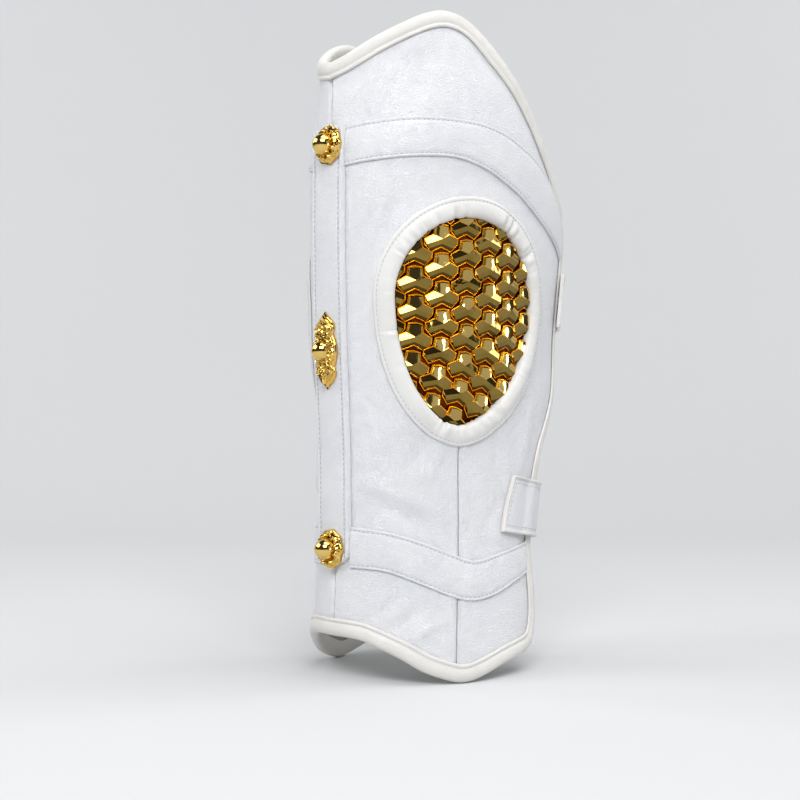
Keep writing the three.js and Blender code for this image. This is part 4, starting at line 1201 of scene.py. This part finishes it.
def build_tab(name, node, tab_up, lap):
    """One tab across the gap, with its lap on the near panel. Returns its line of stitches."""
    over_binding = seat_gap + binding_thickness + round_gap + tab_clearance
    edge_run = binding_reveal + 2.0
    row_steps = np.array([0.0, 0.3, 0.8, 1.5, 2.1, 2.6, 3.4, 4.6, 7.0, 11.0, 15.0])
    rows = np.concatenate([row_steps, [18.0], tab_height - row_steps[::-1]]) / tab_height - 0.5
    end_steps = np.array([0.0, 0.3, 0.8, 1.5, 2.1, 2.6, 3.4, 4.6])

    def out_at(inward):
        """How far off the leather the tab lies, a distance in from the panel's edge."""
        clear = smooth_step(np.asarray(inward, float), binding_width + 4, binding_width + 10)
        return over_binding + (seat_gap + 0.1 - over_binding) * clear

    def column(side, inward, lift):
        """A row of points across the tab, and the ways they face."""
        up = tab_up + lift + rows * tab_height
        near_end = np.clip((inward - 0.5 * lap) / (0.5 * lap), 0, 1) if side > 0 else 0.0
        along = side * (reach_at(up) - inward + near_end * tab_slant * rows * tab_height)
        return on_wall(along, up, np.full(rows.shape, out_at(inward))), wall_normal(along, up)

    near = np.concatenate([lap - end_steps, np.linspace(lap - 6.5, 0.0, 14), [-edge_run / 2, -edge_run]])
    far = np.concatenate([[-edge_run, -edge_run / 2], np.linspace(0.0, tab_anchor_lap - 6.0, 10),
                          tab_anchor_lap - end_steps[::-1]])
    near_columns = [column(1.0, inward, tab_slope * (lap - inward)) for inward in near]
    far_columns = [column(-1.0, inward, tab_slope * lap) for inward in far]
    start, end = near_columns[-1], far_columns[0]
    bridge = []
    for t in (0.12, 0.25, 0.38, 0.5, 0.62, 0.75, 0.88):
        points = start[0] * (1 - t) + end[0] * t + np.array([0, tab_bow * math.sin(math.pi * t), 0])
        facing = start[1] * (1 - t) + end[1] * t
        bridge.append((points, facing / np.linalg.norm(facing, axis=1, keepdims=True)))
    columns = near_columns + bridge + far_columns
    points = np.stack([p for p, _ in columns])
    facing = np.stack([n for _, n in columns])
    length = np.concatenate([[0.0], np.cumsum(np.linalg.norm(np.diff(points[:, 11], axis=0), axis=1))])
    from_end = np.minimum(length, length[-1] - length)[:, None]
    from_side = (0.5 - np.abs(rows))[None, :] * tab_height
    from_edge = np.minimum(from_end, from_side)
    height = tab_thickness * (0.3 + 0.7 * edge_round(from_edge, 0.9))
    height = height + 0.45 * (1 - smooth_step(from_edge, 1.6, 2.3))
    for furrow_in, furrow_depth in tab_furrows:
        height = height + seam_dip(from_edge, furrow_in, furrow_depth)
    outer = points + facing * height[..., None]
    merged, all_faces, _ = thick(outer.reshape(-1, 3), points.reshape(-1, 3), grid_faces(*points.shape[:2]))
    bound = (np.tile(from_edge.ravel(), 2)[all_faces].mean(axis=1) < tab_bound_width).astype(int)
    piece = make_piece(name, merged, all_faces, [white_leather, cream_leather], bound, crisp=60)
    face_outward(piece)
    stand_for(piece, node)
    seam_row, last_row = 7, len(rows) - 8
    first_column, last_column = 7, len(columns) - 8
    loop = [(i, seam_row) for i in range(last_column, first_column, -1)]
    loop += [(first_column, j) for j in range(seam_row, last_row)]
    loop += [(i, last_row) for i in range(first_column, last_column)]
    loop += [(last_column, j) for j in range(last_row, seam_row, -1)]
    i, j = np.array(loop).T
    return outer[i, j] + facing[i, j] * 0.1, facing[i, j], True


tab_lines = [build_tab("upper_tab_leather", "upper_tab", 243.0, 14.0),
             build_tab("lower_tab_leather", "lower_tab", 109.0, 41.5)]
sew("tab_stitches", tab_lines, grey_thread)

# Studio. A plain pale sweep under and behind the guard, soft boxes at both sides and above, and the camera
# where the photograph was taken from, a metre off and a little under half the guard's height.
def studio_finish():
    """Pale painted board."""
    material, bench, where = start_finish("studio_sweep")
    colour = bench.ramp(bench.noise(where, 0.4), (0.3, (0.60, 0.61, 0.62)), (0.7, (0.64, 0.65, 0.66)))
    close_finish(bench, {"Base Color": colour, "Roughness": 0.85}, None, 0.0)
    return material


view_turn = math.radians(50.0)
back_way = np.array([-math.sin(view_turn), math.cos(view_turn)])
side_way = np.array([math.cos(view_turn), math.sin(view_turn)])
sweep_bend = 900.0
sweep_half_width = 3500.0
sweep_profile = [(-2500.0, 0.0), (sweep_bend, 0.0)]
for a in np.linspace(0.1, math.pi / 2, 14):
    sweep_profile.append((sweep_bend + sweep_bend * math.sin(a), sweep_bend - sweep_bend * math.cos(a)))
sweep_profile += [(2 * sweep_bend, 3500.0)]
sweep_points = []
for away, height in sweep_profile:
    for aside in (-sweep_half_width, sweep_half_width):
        spot = back_way * away + side_way * aside
        sweep_points.append((spot[0], spot[1], height - 0.2))
sweep = make_piece("sweep", sweep_points, grid_faces(len(sweep_profile), 2)[:, ::-1], [studio_finish()])


def softbox(name, place, target, size, power, lights_leather=True):
    """A lamp turned to its target. One that doesn't light the leather is only mirrored in the gold."""
    light = bpy.data.lights.new(name, "AREA")
    light.shape, light.size, light.size_y = "RECTANGLE", size[0], size[1]
    light.energy = power
    lamp = bpy.data.objects.new(name, light)
    aim_way = np.array(target) - np.array(place)
    lamp.location = place
    yaw = math.atan2(aim_way[1], aim_way[0]) - math.pi / 2
    pitch = math.atan2(aim_way[2], math.hypot(aim_way[0], aim_way[1])) + math.pi / 2
    lamp.rotation_euler = (pitch, 0.0, yaw)
    lamp.visible_diffuse = lights_leather
    bpy.context.scene.collection.objects.link(lamp)


target = (0.0, 0.0, 0.2)
softbox("key_box", (1.3, -1.0, 1.45), target, (1.2, 0.9), 29.0)
softbox("left_box", (-0.75, -1.5, 1.25), target, (0.8, 1.0), 10.5)
softbox("top_box", (0.45, 0.2, 1.8), target, (1.3, 1.3), 17.0)
softbox("side_panel", (1.5, 0.75, 0.55), target, (1.9, 1.3), 3.6, lights_leather=False)
softbox("side_strip", (0.95, 1.15, 0.15), target, (0.14, 0.6), 3.0, lights_leather=False)
softbox("far_strip", (1.45, 0.3, 0.08), target, (0.1, 0.6), 2.6, lights_leather=False)
for aside in (-1.0, 1.0):
    place = back_way * 0.7 + side_way * aside * 1.7
    wall_spot = back_way * 1.75
    softbox("sweep_box", (place[0], place[1], 1.3), (wall_spot[0], wall_spot[1], 0.9), (0.8, 1.2), 12.0)
world = bpy.data.worlds.new("studio_air")
world.use_nodes = True
world.node_tree.nodes.clear()
bench = Bench(world.node_tree)
path = bench.node("ShaderNodeLightPath")
dark_air = bench.blend(path["Is Glossy Ray"], (0.17, 0.172, 0.178, 1), (0.05, 0.05, 0.052, 1))
air = bench.node("ShaderNodeBackground", None, {
    "Color": bench.blend(path["Is Camera Ray"], dark_air, (0.64, 0.65, 0.66, 1))})
bench.node("ShaderNodeOutputWorld", None, {"Surface": air})
bpy.context.scene.world = world
bpy.context.scene.view_settings.view_transform = "Standard"

lens = bpy.data.cameras.new("camera")
lens.sensor_width = 36.0
lens.lens = 67.95
lens.clip_start = 0.01
camera = bpy.data.objects.new("camera", lens)
camera.location = (0.75415, -0.65696, 0.175)
camera.rotation_euler = (math.pi / 2, 0.0, view_turn)
bpy.context.scene.collection.objects.link(camera)
bpy.context.scene.camera = camera
